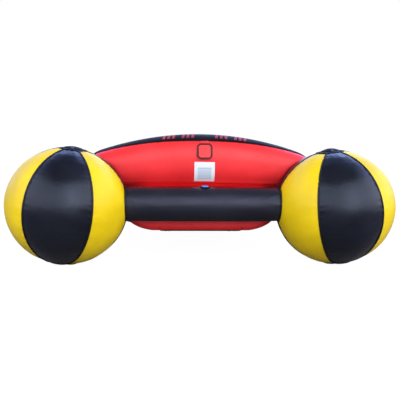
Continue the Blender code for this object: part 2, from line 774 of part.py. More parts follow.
def make_handle(name, location, tilt):
    """A webbing loop with a foam grip. Both swing about the line through the loop's sewn ends."""
    hinge = empty(f"{name}_hinge", location, (tilt, 0, 0))
    half, rise = HANDLE_HALF, HANDLE_RISE
    bend = [(half, 0.0), (half - 0.006, 0.024), (half - 0.018, rise - 0.008), (half - 0.034, rise)]
    path = [(-y, z) for y, z in bend] + [(y, z) for y, z in reversed(bend)]
    rings = ribbon(path, STRAP_WIDTH, STRAP_THICKNESS)
    part(f"{name}_strap", loft(f"{name}_strap", rings), WEBBING, hinge)
    profile = [
        (GRIP_BORE, GRIP_HALF),
        (GRIP_RADIUS - 0.002, GRIP_HALF),
        (GRIP_RADIUS, GRIP_HALF - 0.003),
        (GRIP_RADIUS, 0.003 - GRIP_HALF),
        (GRIP_RADIUS - 0.002, -GRIP_HALF),
        (GRIP_BORE, -GRIP_HALF),
    ]
    grip = turned(f"{name}_grip", profile, FOAM, hinge, steps=14)
    grip.location = (0, 0, rise)
    grip.rotation_euler = (pi / 2, 0, 0)


def make_handles():
    for i, y in enumerate(DECK_HANDLES):
        at = (0, AXIS_Y + y, deck_z(y) + HANDLE_LIFT)
        make_handle(f"deck_handle_{i + 1}", at, DECK_TILT)
    for word, side in (("left", -1), ("right", 1)):
        top = deck_z(ARM_HANDLE) + ARM_LIFT + ARM_HALF_HEIGHT + HANDLE_LIFT
        make_handle(f"arm_handle_{word}", (side * ARM_X, AXIS_Y + ARM_HANDLE, top), DECK_TILT)


def make_tow_point():
    patch_y = HULL_FRONT + 0.0005 + TOW_PATCH[1] / 2
    box("tow_patch", TOW_PATCH, WEBBING, (0, AXIS_Y + patch_y, TOW_Z))
    face = HULL_FRONT + TOW_PATCH[1] + 0.0008
    r = TOW_STRAP_RADIUS
    arc = [pi / 2 - pi * i / 8 for i in range(9)]
    path = [(face, r)] + [(TOW_BAR_Y + r * cos(a), r * sin(a)) for a in arc] + [(face, -r)]
    rings = ribbon([(AXIS_Y + y, TOW_Z + z) for y, z in path], TOW_STRAP_WIDTH, STRAP_THICKNESS)
    part("tow_strap", loft("tow_strap", rings), WEBBING)
    ring_curve = bpy.data.curves.new("tow_ring", "CURVE")
    ring_curve.dimensions = "3D"
    ring_curve.bevel_depth = RING_WIRE
    ring_curve.bevel_resolution = 2
    spline = ring_curve.splines.new("POLY")
    bow = [pi + pi * i / 10 for i in range(11)]
    shape = [(-RING_HALF + 0.003, 0.0), (RING_HALF - 0.003, 0.0), (RING_HALF, -0.003)]
    shape += [
        (RING_HALF * cos(a), -0.020 + (RING_DROP - 0.020) * sin(a)) for a in reversed(bow)
    ]
    shape += [(-RING_HALF, -0.003)]
    spline.points.add(len(shape) - 1)
    for point, (x, z) in zip(spline.points, shape):
        point.co = (x, 0.0, z, 1.0)
    spline.use_cyclic_u = True
    ring = bpy.data.objects.new("tow_ring", ring_curve)
    ring_curve.materials.append(STEEL)
    PARTS.objects.link(ring)
    ring.location = (0, AXIS_Y + TOW_BAR_Y, TOW_Z)


def main():
    for word, side in (("left", -1), ("right", 1)):
        make_ball(word, side)
        make_arm(word, side)
    make_cross_tube()
    make_backrest()
    make_hull()
    make_nose_roll()
    make_handles()
    make_tow_point()


main()
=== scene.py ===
from functools import partial
from math import asin, cos, exp, pi, radians, sin, sqrt

import bmesh
import bpy
from mathutils import Matrix, Vector, noise


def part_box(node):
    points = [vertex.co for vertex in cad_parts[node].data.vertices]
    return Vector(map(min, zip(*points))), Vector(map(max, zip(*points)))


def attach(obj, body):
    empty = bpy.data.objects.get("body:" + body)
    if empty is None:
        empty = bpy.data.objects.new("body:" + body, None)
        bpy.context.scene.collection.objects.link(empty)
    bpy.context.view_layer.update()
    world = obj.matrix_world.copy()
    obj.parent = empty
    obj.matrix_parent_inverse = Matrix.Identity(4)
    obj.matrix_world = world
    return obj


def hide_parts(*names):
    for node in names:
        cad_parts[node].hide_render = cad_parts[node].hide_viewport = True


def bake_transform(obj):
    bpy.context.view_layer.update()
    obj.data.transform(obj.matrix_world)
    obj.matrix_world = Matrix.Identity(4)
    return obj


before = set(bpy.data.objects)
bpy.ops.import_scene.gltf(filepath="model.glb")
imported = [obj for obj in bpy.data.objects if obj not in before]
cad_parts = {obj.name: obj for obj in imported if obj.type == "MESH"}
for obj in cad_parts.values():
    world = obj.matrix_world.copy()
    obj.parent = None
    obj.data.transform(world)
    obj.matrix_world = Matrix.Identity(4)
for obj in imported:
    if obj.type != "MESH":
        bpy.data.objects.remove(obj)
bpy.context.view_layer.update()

# The object's shape, in metres and degrees, with y counted forward from the balls' axis.
SLEEVE_LOW, SLEEVE_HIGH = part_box("cross_tube_sleeve")
AXIS_Y = (SLEEVE_LOW.y + SLEEVE_HIGH.y) / 2
TUBE_Z = (SLEEVE_LOW.z + SLEEVE_HIGH.z) / 2
TUBE_RADIUS = (SLEEVE_HIGH.z - SLEEVE_LOW.z) / 2
TUBE_HALF = SLEEVE_HIGH.x
TUBE_VALVE_X = sum(corner.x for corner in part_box("cross_tube_valve")) / 2

BALL_X = 0.810
BALL_RADIUS = 0.360
BALL_HALF_HEIGHT = 0.3445
BALL_Z = 0.3475
BALL_LEAN = radians(6.8)
BALL_TURN = radians(2.7)
BLACK_WIDTHS = (64, 56, 56)  # degrees of longitude: rear, outer front and inner front
YELLOW_WIDTHS = (60, 64, 60)  # outer, front and inner
GORE_POLE = radians(11)
PIPING_POLE = radians(9)
CAP_ANGLE = radians(14)
PATCH_ANGLE = radians(17)
VALVE_COVER_RADIUS = 0.050
VALVE_COVER_HUMP = {"left": 0.0015, "right": 0.005}
VALVE_COVER_WALL, VALVE_COVER_HINGE, VALVE_COVER_DROOP = 0.0025, 0.0045, 0.0063
SKIN = 0.002

BACK_HALF = 0.748
BACK_ROUND_FROM = 0.67
BACK_POWER = 2.5
BACK_TOP, BACK_LOW = 0.768, 0.434
BACK_REAR, BACK_FRONT = 0.103, 0.440
BACK_SAG, BACK_END_SAG, BACK_END = 0.265, 2.2, 0.62
BACK_LOW_RISE, BACK_LOW_LEVEL, BACK_STRAIGHT = 0.12, 0.52, 0.40
BACK_SWEEP, BACK_FRONT_SWEEP = 0.06, 0.055
BALL_CLEARANCE = 0.005
BACK_DEGREE = 0.0032  # metres of the backrest's surface in one degree
PANEL_REAR_ANGLE, PANEL_FRONT_ANGLE, PANEL_FALL, PANEL_LEAST = 48, 140, 12, 4
PANEL_HALF, PANEL_TAPER, PANEL_TAPER_FROM, PANEL_TAPER_REACH = 0.69, 34, 0.60, 0.09
CREASE_ANGLE, CREASE_WAVE, CREASE_WIDTH, CREASE_DEPTH = -46, 1.5, 4.5, 0.0055
BAR_STARTS, BAR_ANGLES = (-0.245, -0.125, 0.085, 0.205), (60, 104)
BAR_PITCH, BAR_WIDTH, BAR_SLANT = 0.030, 0.017, 0.016
FLAP_X, FLAP_ANGLE = 0.0165, 20
FLAP_WIDTH, FLAP_HEIGHT, FLAP_STANDOFF, FLAP_BINDING = 0.099, 0.104, 0.0055, 0.014
LABEL_X, LABEL_PLACE = (-0.046, 0.080), (-39, 1)
PAD_HALF, PAD_ANGLES = 0.50, (150, 205)

HULL_REAR, HULL_FRONT = 0.103, 1.520
HULL_POWER = 4.2
HULL_FLAT = 0.011
HULL_DRAW_IN, HULL_REAR_ROUND, HULL_FRONT_ROUND = 0.022, 0.030, 0.045
HULL_RADIAN = 0.24  # metres of the hull's surface in one radian, roughly
SIDE_SEAM, KEEL_SEAM = radians(38), radians(-70)
HULL_SEAMS = (SIDE_SEAM, pi - SIDE_SEAM, KEEL_SEAM, pi - KEEL_SEAM)
BASE_SETBACK = 0.036  # from the hull's rear to its black base
HULL_WIDTH = (
    (0.103, 0.455), (0.200, 0.470), (0.300, 0.530), (0.420, 0.620), (0.600, 0.670),
    (1.100, 0.665), (1.250, 0.630), (1.380, 0.540), (1.480, 0.400), (1.520, 0.300),
)
HULL_LOW_POWER = (
    (0.103, 4.2), (0.200, 2.6), (0.300, 2.0), (0.420, 1.8), (1.250, 1.8), (1.380, 2.8),
    (1.520, 4.6),
)
HULL_BOTTOM = (
    (0.103, 0.180), (0.600, 0.0915), (1.100, 0.003), (1.250, 0.003), (1.380, 0.050),
    (1.480, 0.150), (1.520, 0.210),
)
DECK_REAR, DECK_FRONT = (0.42, 0.430), (1.34, 0.370)
DECK_TILT = asin((DECK_FRONT[1] - DECK_REAR[1]) / (DECK_FRONT[0] - DECK_REAR[0]))
SEAT_PAD_X, SEAT_PAD_SIZE, SEAT_PAD_Y = 0.258, (0.370, 0.585, 0.018), 0.7575
SEAT_PAD_TRIM, SEAT_PAD_THIN, SEAT_PAD_CORNER = 0.012, 0.004, 0.040
SEAT_PAD_PRESSURE, SEAT_PAD_SWELL, SEAT_PAD_GROOVE = 4.0, 0.006, 0.0085
HULL_VALVE = (0.36, 1.10)

ARM_X, ARM_HALF_WIDTH, ARM_HALF_HEIGHT, ARM_LIFT = 0.575, 0.108, 0.080, 0.074
ARM_RANGE = (0.482, 1.105)
ROLL_Y, ROLL_CURVE, ROLL_HALF = 1.375, 0.16, 0.620
ROLL_HALF_DEPTH, ROLL_HALF_HEIGHT, ROLL_LIFT = 0.120, 0.080, 0.082
ARM_SEATING = 0.026  # how far an arm's underside settles into the deck's round edge
CUSHION_POWER = 2.3
CUSHION_ROUND = 0.070
CUSHION_RADIAN = 0.095  # metres of a cushion's surface in one radian, roughly
CUSHION_PLUG_INSET = 0.11
PANEL_SEAMS = (radians(52), radians(128))

HANDLE_LIFT, HANDLE_HALF, HANDLE_RISE = 0.0135, 0.088, 0.055
STRAP_WIDTH, STRAP_THICKNESS = 0.022, 0.0025
GRIP_RADIUS, GRIP_BORE, GRIP_HALF = 0.0170, 0.0125, 0.048
HANDLE_PATCH_X, HANDLE_PATCH_Y = 0.050, 0.142
DECK_HANDLES = {
    "deck_handle_1": ("deck_handle_rear", 0.62),
    "deck_handle_2": ("deck_handle_front", 0.92),
}
ARM_HANDLE_Y = 0.80

TOW_Z, TOW_BAR_Y = 0.285, 1.580
TOW_STRAP_WIDTH, TOW_STRAP_RADIUS = 0.040, 0.0080
RING_HALF, RING_DROP, RING_CORNER, RING_WIRE = 0.029, 0.050, 0.004, 0.0040
ZIP_Y, ZIP_HALF, ZIP_TEETH = 1.185, 0.300, 150
ZIP_TAPE_HALF, ZIP_TAPE_END, ZIP_TOOTH = 0.016, 0.015, Vector((0.0024, 0.0058, 0.0018))

SIDES = (("left", -1), ("right", 1))


# ---------------------------------------------------------------- materials


def node_of(tree, kind, **values):
    """A shader node with the given input values, by input name."""
    made = tree.nodes.new(kind)
    for name, value in values.items():
        made.inputs[name.replace("_", " ")].default_value = value
    return made


def noise_of(tree, coordinates, scale, detail=3.0):
    made = node_of(tree, "ShaderNodeTexNoise", Scale=scale, Detail=detail)
    tree.links.new(coordinates, made.inputs["Vector"])
    return made.outputs["Fac"]


def range_of(tree, value, low, high, to_low, to_high):
    made = node_of(
        tree, "ShaderNodeMapRange", From_Min=low, From_Max=high, To_Min=to_low, To_Max=to_high
    )
    tree.links.new(value, made.inputs["Value"])
    return made.outputs["Result"]


def mottle_of(tree, coordinates, scale, to_low=0.0, to_high=1.0, detail=3.0):
    """Noise in soft patches, spread between two values."""
    return range_of(tree, noise_of(tree, coordinates, scale, detail), 0.3, 0.7, to_low, to_high)


def math_of(tree, operation, first, second):
    """A Math node on a socket and a second socket or number."""
    made = tree.nodes.new("ShaderNodeMath")
    made.operation = operation
    tree.links.new(first, made.inputs[0])
    if isinstance(second, float):
        made.inputs[1].default_value = second
    else:
        tree.links.new(second, made.inputs[1])
    return made.outputs["Value"]


def mix_of(tree, factor, first, second):
    """Colours first and second, each a socket or three numbers, mixed by a factor socket."""
    made = tree.nodes.new("ShaderNodeMix")
    made.data_type = "RGBA"
    tree.links.new(factor, made.inputs["Factor"])
    for socket, colour in ((made.inputs[6], first), (made.inputs[7], second)):
        if isinstance(colour, tuple):
            socket.default_value = (*colour, 1.0)
        else:
            tree.links.new(colour, socket)
    return made.outputs[2]


def bump_of(tree, height, strength, distance, below=None):
    made = node_of(tree, "ShaderNodeBump", Strength=strength, Distance=distance)
    tree.links.new(height, made.inputs["Height"])
    if below is not None:
        tree.links.new(below, made.inputs["Normal"])
    return made.outputs["Normal"]


def attribute_of(tree, name):
    made = tree.nodes.new("ShaderNodeAttribute")
    made.attribute_name = name
    return made.outputs["Fac"]


def start_material(name):
    made = bpy.data.materials.new(name)
    made.use_nodes = True
    tree = made.node_tree
    at = tree.nodes.new("ShaderNodeTexCoord").outputs["Object"]
    return made, tree, tree.nodes["Principled BSDF"], at


def finish_material(tree, shader, colour, rough, normal=None):
    tree.links.new(colour, shader.inputs["Base Color"])
    tree.links.new(rough, shader.inputs["Roughness"])
    if normal is not None:
        tree.links.new(normal, shader.inputs["Normal"])


def worn(colour, gain, lift):
    """The colour where it is rubbed paler."""
    return tuple(min(1.0, c * gain + lift) for c in colour)


def weave_of(tree, coordinates, scale):
    """Crossed threads, as a height."""
    heights = []
    for direction in ("X", "Z"):
        wave = node_of(tree, "ShaderNodeTexWave", Scale=scale)
        wave.bands_direction = direction
        tree.links.new(coordinates, wave.inputs["Vector"])
        heights.append(wave.outputs["Fac"])
    return math_of(tree, "MULTIPLY", *heights)


def coated_nylon(name, colour, seam_colour, roughness, specular=0.5, tint=(1.0, 1.0, 1.0)):
    """Nylon with a smooth coating: soft sheen, faint weave, slack ripples, and dirt along the seams."""
    made, tree, shader, at = start_material(name)
    deep = tuple(c * 0.86 for c in colour)
    base = mix_of(tree, mottle_of(tree, at, 4.5, detail=4.0), deep, worn(colour, 1.10, 0.004))
    seam = range_of(tree, attribute_of(tree, "seam"), 0.35, 1.0, 0.0, 0.75)
    shaded = mix_of(tree, seam, base, seam_colour)
    rough = mottle_of(tree, at, 7.0, roughness - 0.05, roughness + 0.06)
    ripples = bump_of(tree, noise_of(tree, at, 11.0, 2.0), 0.30, 0.006)
    weave = bump_of(tree, weave_of(tree, at, 190.0), 0.12, 0.0004, ripples)
    finish_material(tree, shader, shaded, rough, weave)
    shader.inputs["Specular IOR Level"].default_value = specular
    # A tint other than white colours every reflection: painted reflection colour.
    shader.inputs["Specular Tint"].default_value = (*tint, 1.0)
    return made


def woven_webbing(name, colour):
    made, tree, shader, at = start_material(name)
    base = mix_of(tree, mottle_of(tree, at, 60.0, detail=5.0), colour, worn(colour, 1.7, 0.006))
    ribs = bump_of(tree, weave_of(tree, at, 120.0), 0.55, 0.0010)
    finish_material(tree, shader, base, mottle_of(tree, at, 90.0, 0.68, 0.85), ribs)
    shader.inputs["Sheen Weight"].default_value = 0.25
    return made


def soft_foam(name, colour, pores, roughness=0.88):
    """Closed-cell foam or foam-backed knit, with fine pores."""
    made, tree, shader, at = start_material(name)
    base = mix_of(tree, mottle_of(tree, at, 30.0, detail=6.0), colour, worn(colour, 1.6, 0.005))
    cells = node_of(tree, "ShaderNodeTexVoronoi", Scale=pores)
    tree.links.new(at, cells.inputs["Vector"])
    dimples = bump_of(tree, cells.outputs["Distance"], 0.35, 0.0012)
    rough = mottle_of(tree, at, 50.0, roughness - 0.08, roughness + 0.06)
    finish_material(tree, shader, base, rough, dimples)
    shader.inputs["Sheen Weight"].default_value = 0.15
    return made


def moulded_plastic(name, colour, roughness=0.35):
    made, tree, shader, at = start_material(name)
    base = mix_of(tree, mottle_of(tree, at, 40.0, detail=5.0), colour, worn(colour, 1.15, 0.008))
    grain = bump_of(tree, noise_of(tree, at, 500.0), 0.20, 0.0003)
    rough = mottle_of(tree, at, 120.0, roughness - 0.07, roughness + 0.10)
    finish_material(tree, shader, base, rough, grain)
    return made


def brushed_steel(name):
    made, tree, shader, at = start_material(name)
    tone = mottle_of(tree, at, 80.0, detail=5.0)
    base = mix_of(tree, tone, (0.46, 0.47, 0.49), (0.68, 0.68, 0.67))
    finish_material(tree, shader, base, mottle_of(tree, at, 200.0, 0.20, 0.36))
    shader.inputs["Metallic"].default_value = 1.0
    return made


def printed_label(name):
    """A white film with a pale panel of faint grey ruled lines, by the label's own u and v."""
    made, tree, shader, at = start_material(name)
    u, v = attribute_of(tree, "across"), attribute_of(tree, "up")
    line = range_of(tree, math_of(tree, "PINGPONG", v, 0.055), 0.012, 0.018, 1.0, 0.0)
    inside = None
    for value in (u, v):
        for edge, low, high in ((0.16, 0.0, 1.0), (0.84, 1.0, 0.0)):
            step = range_of(tree, value, edge - 0.01, edge + 0.01, low, high)
            inside = step if inside is None else math_of(tree, "MULTIPLY", inside, step)
    panel = mix_of(tree, inside, (0.86, 0.88, 0.92), (0.66, 0.76, 0.84))
    ruled = mix_of(tree, math_of(tree, "MULTIPLY", inside, line), panel, (0.42, 0.48, 0.56))
    finish_material(tree, shader, ruled, mottle_of(tree, at, 40.0, 0.38, 0.50))
    return made


BLACK_SEAM = (0.003, 0.003, 0.005)
RED = coated_nylon("red_coated_nylon", (0.97, 0.028, 0.032), (0.42, 0.006, 0.008), 0.40, 0.36)
YELLOW = coated_nylon(
    "yellow_coated_nylon", (0.93, 0.640, 0.004), (0.50, 0.32, 0.004), 0.38, 0.26
)
# The bluish specular tint on this black nylon is painted reflection colour: it tints every reflection blue,
# standing in for blue sky.
BLACK = coated_nylon(
    "black_coated_nylon", (0.0045, 0.0048, 0.0085), BLACK_SEAM, 0.28, 0.47, (0.70, 0.78, 1.0)
)
# Painted light: the tube's black is about twice as pale as the balls' black, so the tube reads brighter as if
# more lit. Its bluish specular tint is painted reflection colour, standing in for blue sky.
PAINTED_BRIGHT_TUBE_BLACK = coated_nylon(
    "black_tube_nylon_painted_brighter", (0.0092, 0.0098, 0.0150), BLACK_SEAM, 0.44, 0.5, (0.74, 0.78, 1.0)
)
DULL_BLACK = coated_nylon("dull_black_nylon", (0.0055, 0.0050, 0.0062), BLACK_SEAM, 0.55, 0.07)
PIPING = coated_nylon("black_piping", (0.0040, 0.0040, 0.0065), BLACK_SEAM, 0.45, 0.35)
BINDING = coated_nylon("dark_red_binding", (0.085, 0.008, 0.008), (0.02, 0.003, 0.003), 0.50, 0.25)
PRINT = coated_nylon("red_print", (0.40, 0.012, 0.022), (0.3, 0.004, 0.006), 0.50, 0.20)
WEBBING = woven_webbing("black_webbing", (0.012, 0.012, 0.015))
GREY_THREAD = woven_webbing("grey_thread", (0.20, 0.20, 0.22))
NEOPRENE = soft_foam("black_neoprene", (0.014, 0.014, 0.018), 420.0, 0.72)
FOAM = soft_foam("grip_foam", (0.016, 0.016, 0.018), 300.0)
BLACK_PLASTIC = moulded_plastic("black_valve_plastic", (0.016, 0.016, 0.018))
BLUE_PLASTIC = moulded_plastic("blue_valve_plastic", (0.020, 0.20, 0.66), 0.30)
PVC = moulded_plastic("grey_pvc", (0.30, 0.32, 0.34), 0.40)
STEEL = brushed_steel("stainless_steel")
LABEL = printed_label("white_label")


# ---------------------------------------------------------------- mesh tools


def place(obj, body, nodes=()):
    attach(obj, body)
    if nodes:
        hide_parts(*nodes)
    return obj


def to_object(name, bm, mats, smooth_angle=50):
    mesh = bpy.data.meshes.new(name)
    bm.to_mesh(mesh)
    bm.free()
    for mat in mats:
        mesh.materials.append(mat)
    mesh.shade_smooth()
    mesh.set_sharp_from_angle(angle=radians(smooth_angle))
    obj = bpy.data.objects.new(name, mesh)
    bpy.context.scene.collection.objects.link(obj)
    return obj


def add_rows(bm, rows, wrap=False, layer=None, values=None):
    """Adds a grid of faces through rows of points and returns its vertices, row by row."""
    made = [[bm.verts.new(point) for point in row] for row in rows]
    count = len(rows[0])
    for low, high in zip(made, made[1:]):
        for i in range(count if wrap else count - 1):
            j = (i + 1) % count
            bm.faces.new((low[i], low[j], high[j], high[i]))
    if layer is not None:
        for row, line in zip(made, values):
            for vert, value in zip(row, line):
                vert[layer] = value
    return made


def skin(name, rows, mats, wrap=False, caps=False, values=None, thickness=0.0, centre=None):
    """A sheet through rows of points. An open sheet's faces turn away from centre, a point inside."""
    bm = bmesh.new()
    layer = bm.verts.layers.float.new("seam") if values else None
    made = add_rows(bm, rows, wrap, layer, values)
    if caps:
        bm.faces.new(made[0])
        bm.faces.new(made[-1])
    if centre is None:
        bmesh.ops.recalc_face_normals(bm, faces=bm.faces)
    else:
        bm.normal_update()
        if sum(f.normal.dot(f.calc_center_median() - centre) for f in bm.faces) < 0:
            bmesh.ops.reverse_faces(bm, faces=bm.faces)
    obj = to_object(name, bm, mats)
    if thickness:
        wall = obj.modifiers.new("wall", "SOLIDIFY")
        wall.thickness = thickness
        wall.offset = -1.0
    return obj


def slab(name, top, bottom, mats, attributes=None):
    """A closed thin piece between two grids of points."""
    bm = bmesh.new()
    layers = {key: bm.verts.layers.float.new(key) for key in attributes or {}}
    add_slab(bm, top, bottom, layers, attributes)
    bmesh.ops.recalc_face_normals(bm, faces=bm.faces)
    return to_object(name, bm, mats)


def add_slab(bm, top, bottom, layers=None, attributes=None):
    upper, lower = add_rows(bm, top), add_rows(bm, bottom)
    for key, layer in (layers or {}).items():
        for grid in (upper, lower):
            for row, line in zip(grid, attributes[key]):
                for vert, value in zip(row, line):
                    vert[layer] = value

    def border(grid):
        return (
            grid[0][:-1]
            + [row[-1] for row in grid[:-1]]
            + grid[-1][:0:-1]
            + [row[0] for row in grid[:0:-1]]
        )

    high, low = border(upper), border(lower)
    for i in range(len(high)):
        j = (i + 1) % len(high)
        bm.faces.new((high[i], high[j], low[j], low[i]))


def add_sweep(bm, stations, profile, closed=False):
    """A profile of (across, out) points carried along stations of (point, out direction)."""
    rows = []
    count = len(stations)
    for i, (point, out) in enumerate(stations):
        before = stations[(i - 1) % count][0] if closed or i else point
        after = stations[(i + 1) % count][0] if closed or i < count - 1 else point
        along = (after - before).normalized()
        across = along.cross(out).normalized()
        up = across.cross(along).normalized()
        rows.append([point + across * a + up * o for a, o in profile])
    if closed:
        rows.append(rows[0])
    made = add_rows(bm, rows, wrap=True)
    if not closed:
        bm.faces.new(made[0])
        bm.faces.new(made[-1])


def sweep(name, runs, profile, mats, closed=False):
    """One piece from several runs of stations with the same profile."""
    bm = bmesh.new()
    for stations in runs:
        add_sweep(bm, stations, profile, closed)
    bmesh.ops.remove_doubles(bm, verts=bm.verts, dist=1e-6)
    bmesh.ops.recalc_face_normals(bm, faces=bm.faces)
    return to_object(name, bm, mats)


def turned(name, profile, matrix, mats, steps=40):
    """A closed profile of (radius, height) points turned about the matrix's Z."""
    rows = [
        [matrix @ Vector((r * cos(a), r * sin(a), z)) for r, z in profile] for a in circle(steps)
    ]
    rows.append(rows[0])
    bm = bmesh.new()
    add_rows(bm, rows, wrap=profile[0][0] > 0)
    bmesh.ops.remove_doubles(bm, verts=bm.verts, dist=1e-6)
    bmesh.ops.recalc_face_normals(bm, faces=bm.faces)
    return to_object(name, bm, mats, 35)


def round_profile(radius, count=10, flat=1.0):
    """A bead's section, flat times as high as it is wide."""
    return [(radius * cos(a), flat * radius * sin(a)) for a in circle(count)]


def piping_profile(tape, bead):
    """A sewn seam seen from outside: a flat tape with a round bead along its middle."""
    arc = [pi - pi * i / 6 for i in range(7)]
    raised = [(bead * cos(a), 0.0010 + 1.15 * bead * sin(a)) for a in arc]
    return [(-tape, -0.0015), (-tape, 0.0008)] + raised + [(tape, 0.0008), (tape, -0.0015)]


def strap_profile(width, thickness):
    """A flat strap's section with rounded edges."""
    w, t, r = width / 2, thickness / 2, thickness * 0.35
    left = [(-w, -t + r), (-w, t - r), (-w + r, t)]
    return left + [(w - r, t), (w, t - r), (w, -t + r), (w - r, -t), (-w + r, -t)]


def flat_strap(name, spots, out, width, thickness, mat):
    """Flat webbing or film along the spots, its broad side facing out."""
    return sweep(name, [[(spot, out) for spot in spots]], strap_profile(width, thickness), [mat])


def lerp(low, high, share):
    return low + (high - low) * share


def spread(low, high, count):
    """count + 1 values from low to high."""
    return [lerp(low, high, i / count) for i in range(count + 1)]


def circle(count):
    """count angles round a full turn."""
    return [2 * pi * i / count for i in range(count)]


def turn_between(first, second):
    return abs((first - second + pi) % (2 * pi) - pi)


def normal_of(matrix):
    return matrix.to_3x3() @ Vector((0, 0, 1))


def power(value, exponent):
    size = abs(value) ** exponent
    return size if value >= 0 else -size


def ripple(x, y, z, size):
    """Smooth noise from -1 to 1 whose lumps are about size across."""
    return noise.noise(Vector((x, y, z)) / size)


def smooth_through(x, points):
    """A smooth curve through (x, value) points."""
    if x <= points[0][0]:
        return points[0][1]
    if x >= points[-1][0]:
        return points[-1][1]
    i = max(k for k in range(len(points) - 1) if points[k][0] <= x)
    (x1, v1), (x2, v2) = points[i], points[i + 1]
    x0, v0 = points[max(i - 1, 0)]
    x3, v3 = points[min(i + 2, len(points) - 1)]
    step, t = x2 - x1, (x - x1) / (x2 - x1)
    slope1 = (v2 - v0) / (x2 - x0)
    slope2 = (v3 - v1) / (x3 - x1)
    t2, t3 = t * t, t * t * t
    return (
        (2 * t3 - 3 * t2 + 1) * v1
        + (t3 - 2 * t2 + t) * step * slope1
        + (3 * t2 - 2 * t3) * v2
        + (t3 - t2) * step * slope2
    )


def pucker(distance, along, reach, wave, depth, seed=0.0):
    """The gathering beside a seam: short folds across it that die away with distance."""
    shift = 3.0 * ripple(along, seed, 0.3, 0.09)
    strength = 0.55 + 0.45 * ripple(along, seed, 7.1, 0.16)
    return depth * strength * exp(-distance / reach) * sin(2 * pi * along / wave + shift)


# ---------------------------------------------------------------- balls

BALL_SWELL, BALL_VALLEY = 0.0060, 0.0035
GORE_ROWS, GORE_COLUMNS = 120, 22


def ball_frame(side):
    lean = Matrix.Rotation(-side * BALL_LEAN, 4, "Y")
    return Matrix.Translation((side * BALL_X, AXIS_Y, BALL_Z)) @ lean


def panels():
    """Each panel as (colour, number, first longitude, last longitude), from the rear outwards."""
    edge = BALL_TURN - radians(BLACK_WIDTHS[0]) / 2
    for k in range(3):
        for colour, widths in (("black", BLACK_WIDTHS), ("yellow", YELLOW_WIDTHS)):
            last = edge + radians(widths[k])
            yield colour, k + 1, edge, last
            edge = last


def across_panel(longitude):
    """How far across its panel a longitude lies, from -1 to 1."""
    start = BALL_TURN - radians(BLACK_WIDTHS[0]) / 2
    longitude = start + (longitude - start) % (2 * pi)
    for _, _, first, last in panels():
        if longitude <= last:
            return 2 * (longitude - first) / (last - first) - 1
    return 1.0


def ball_point(side, longitude, polar, proud=0.0, across=None):
    """A point on a ball, whose panels swell between their seams."""
    u = across_panel(longitude) if across is None else across
    fade = min(1.0, sin(polar) / 0.45)
    out = (BALL_SWELL * (1 - abs(u) ** 2.4) - BALL_VALLEY) * fade + proud
    r, h = BALL_RADIUS + out, BALL_HALF_HEIGHT + out
    spot = Vector(
        (side * r * sin(polar) * sin(longitude), -r * sin(polar) * cos(longitude), h * cos(polar))
    )
    return ball_frame(side) @ spot


def gore(side, name, middle, half, mat):
    rows, seams = [], []
    for polar in spread(GORE_POLE, pi - GORE_POLE, GORE_ROWS):
        row, line = [], []
        for u in spread(-1.0, 1.0, GORE_COLUMNS):
            u = sin(u * pi / 2)
            longitude = middle + u * half
            from_seam = (1 - abs(u)) * half * BALL_RADIUS * sin(polar)
            along = polar * BALL_RADIUS
            seed = middle + (2.0 if u > 0 else 0.0)
            proud = pucker(from_seam, along, 0.022, 0.037, 0.0017, seed)
            proud += pucker(from_seam, along, 0.060, 0.110, 0.0015, seed + 5)
            proud += 0.0012 * ripple(side * 3 + sin(longitude), cos(longitude), polar, 0.42)
            from_pole = min(polar, pi - polar) * BALL_RADIUS
            proud += 0.0018 * exp(-from_pole / 0.13) * sin(u * 11 + middle * 2)
            row.append(ball_point(side, longitude, polar, proud, u))
            line.append(exp(-from_seam / 0.010))
        rows.append(row)
        seams.append(line)
    centre = ball_frame(side).translation
    return skin(name, rows, [mat], values=seams, thickness=SKIN, centre=centre)


def ball_sphere_cap(side, name, angles, low, high, mats, bottom=False):
    """A round patch over the panels' ends, with a rounded edge."""
    top_rows, under_rows = [], []
    for share in spread(0.0, 1.0, 14):
        polar = lerp(angles[0], angles[1], share)
        edge = sqrt(max(0.0, 1 - max(0.0, (share - 0.90) / 0.10) ** 2))
        height = lerp(low, high, edge)
        place_polar = pi - polar if bottom else polar
        ring = spread(0, 2 * pi, 72)
        top_rows.append([ball_point(side, a, place_polar, height) for a in ring])
        under_rows.append([ball_point(side, a, place_polar, low - 0.0006) for a in ring])
    if bottom:
        for rows in (top_rows, under_rows):
            for row in rows:
                for spot in row:
                    spot.z = max(spot.z, 0.0 if rows is top_rows else 0.0015)
    bm = bmesh.new()
    add_slab(bm, top_rows, under_rows)
    bmesh.ops.remove_doubles(bm, verts=bm.verts, dist=2e-5)
    inner = [f for f in bm.faces if f.calc_area() < 1e-12]
    bmesh.ops.delete(bm, geom=inner, context="FACES_ONLY")
    bmesh.ops.recalc_face_normals(bm, faces=bm.faces)
    return to_object(name, bm, mats)


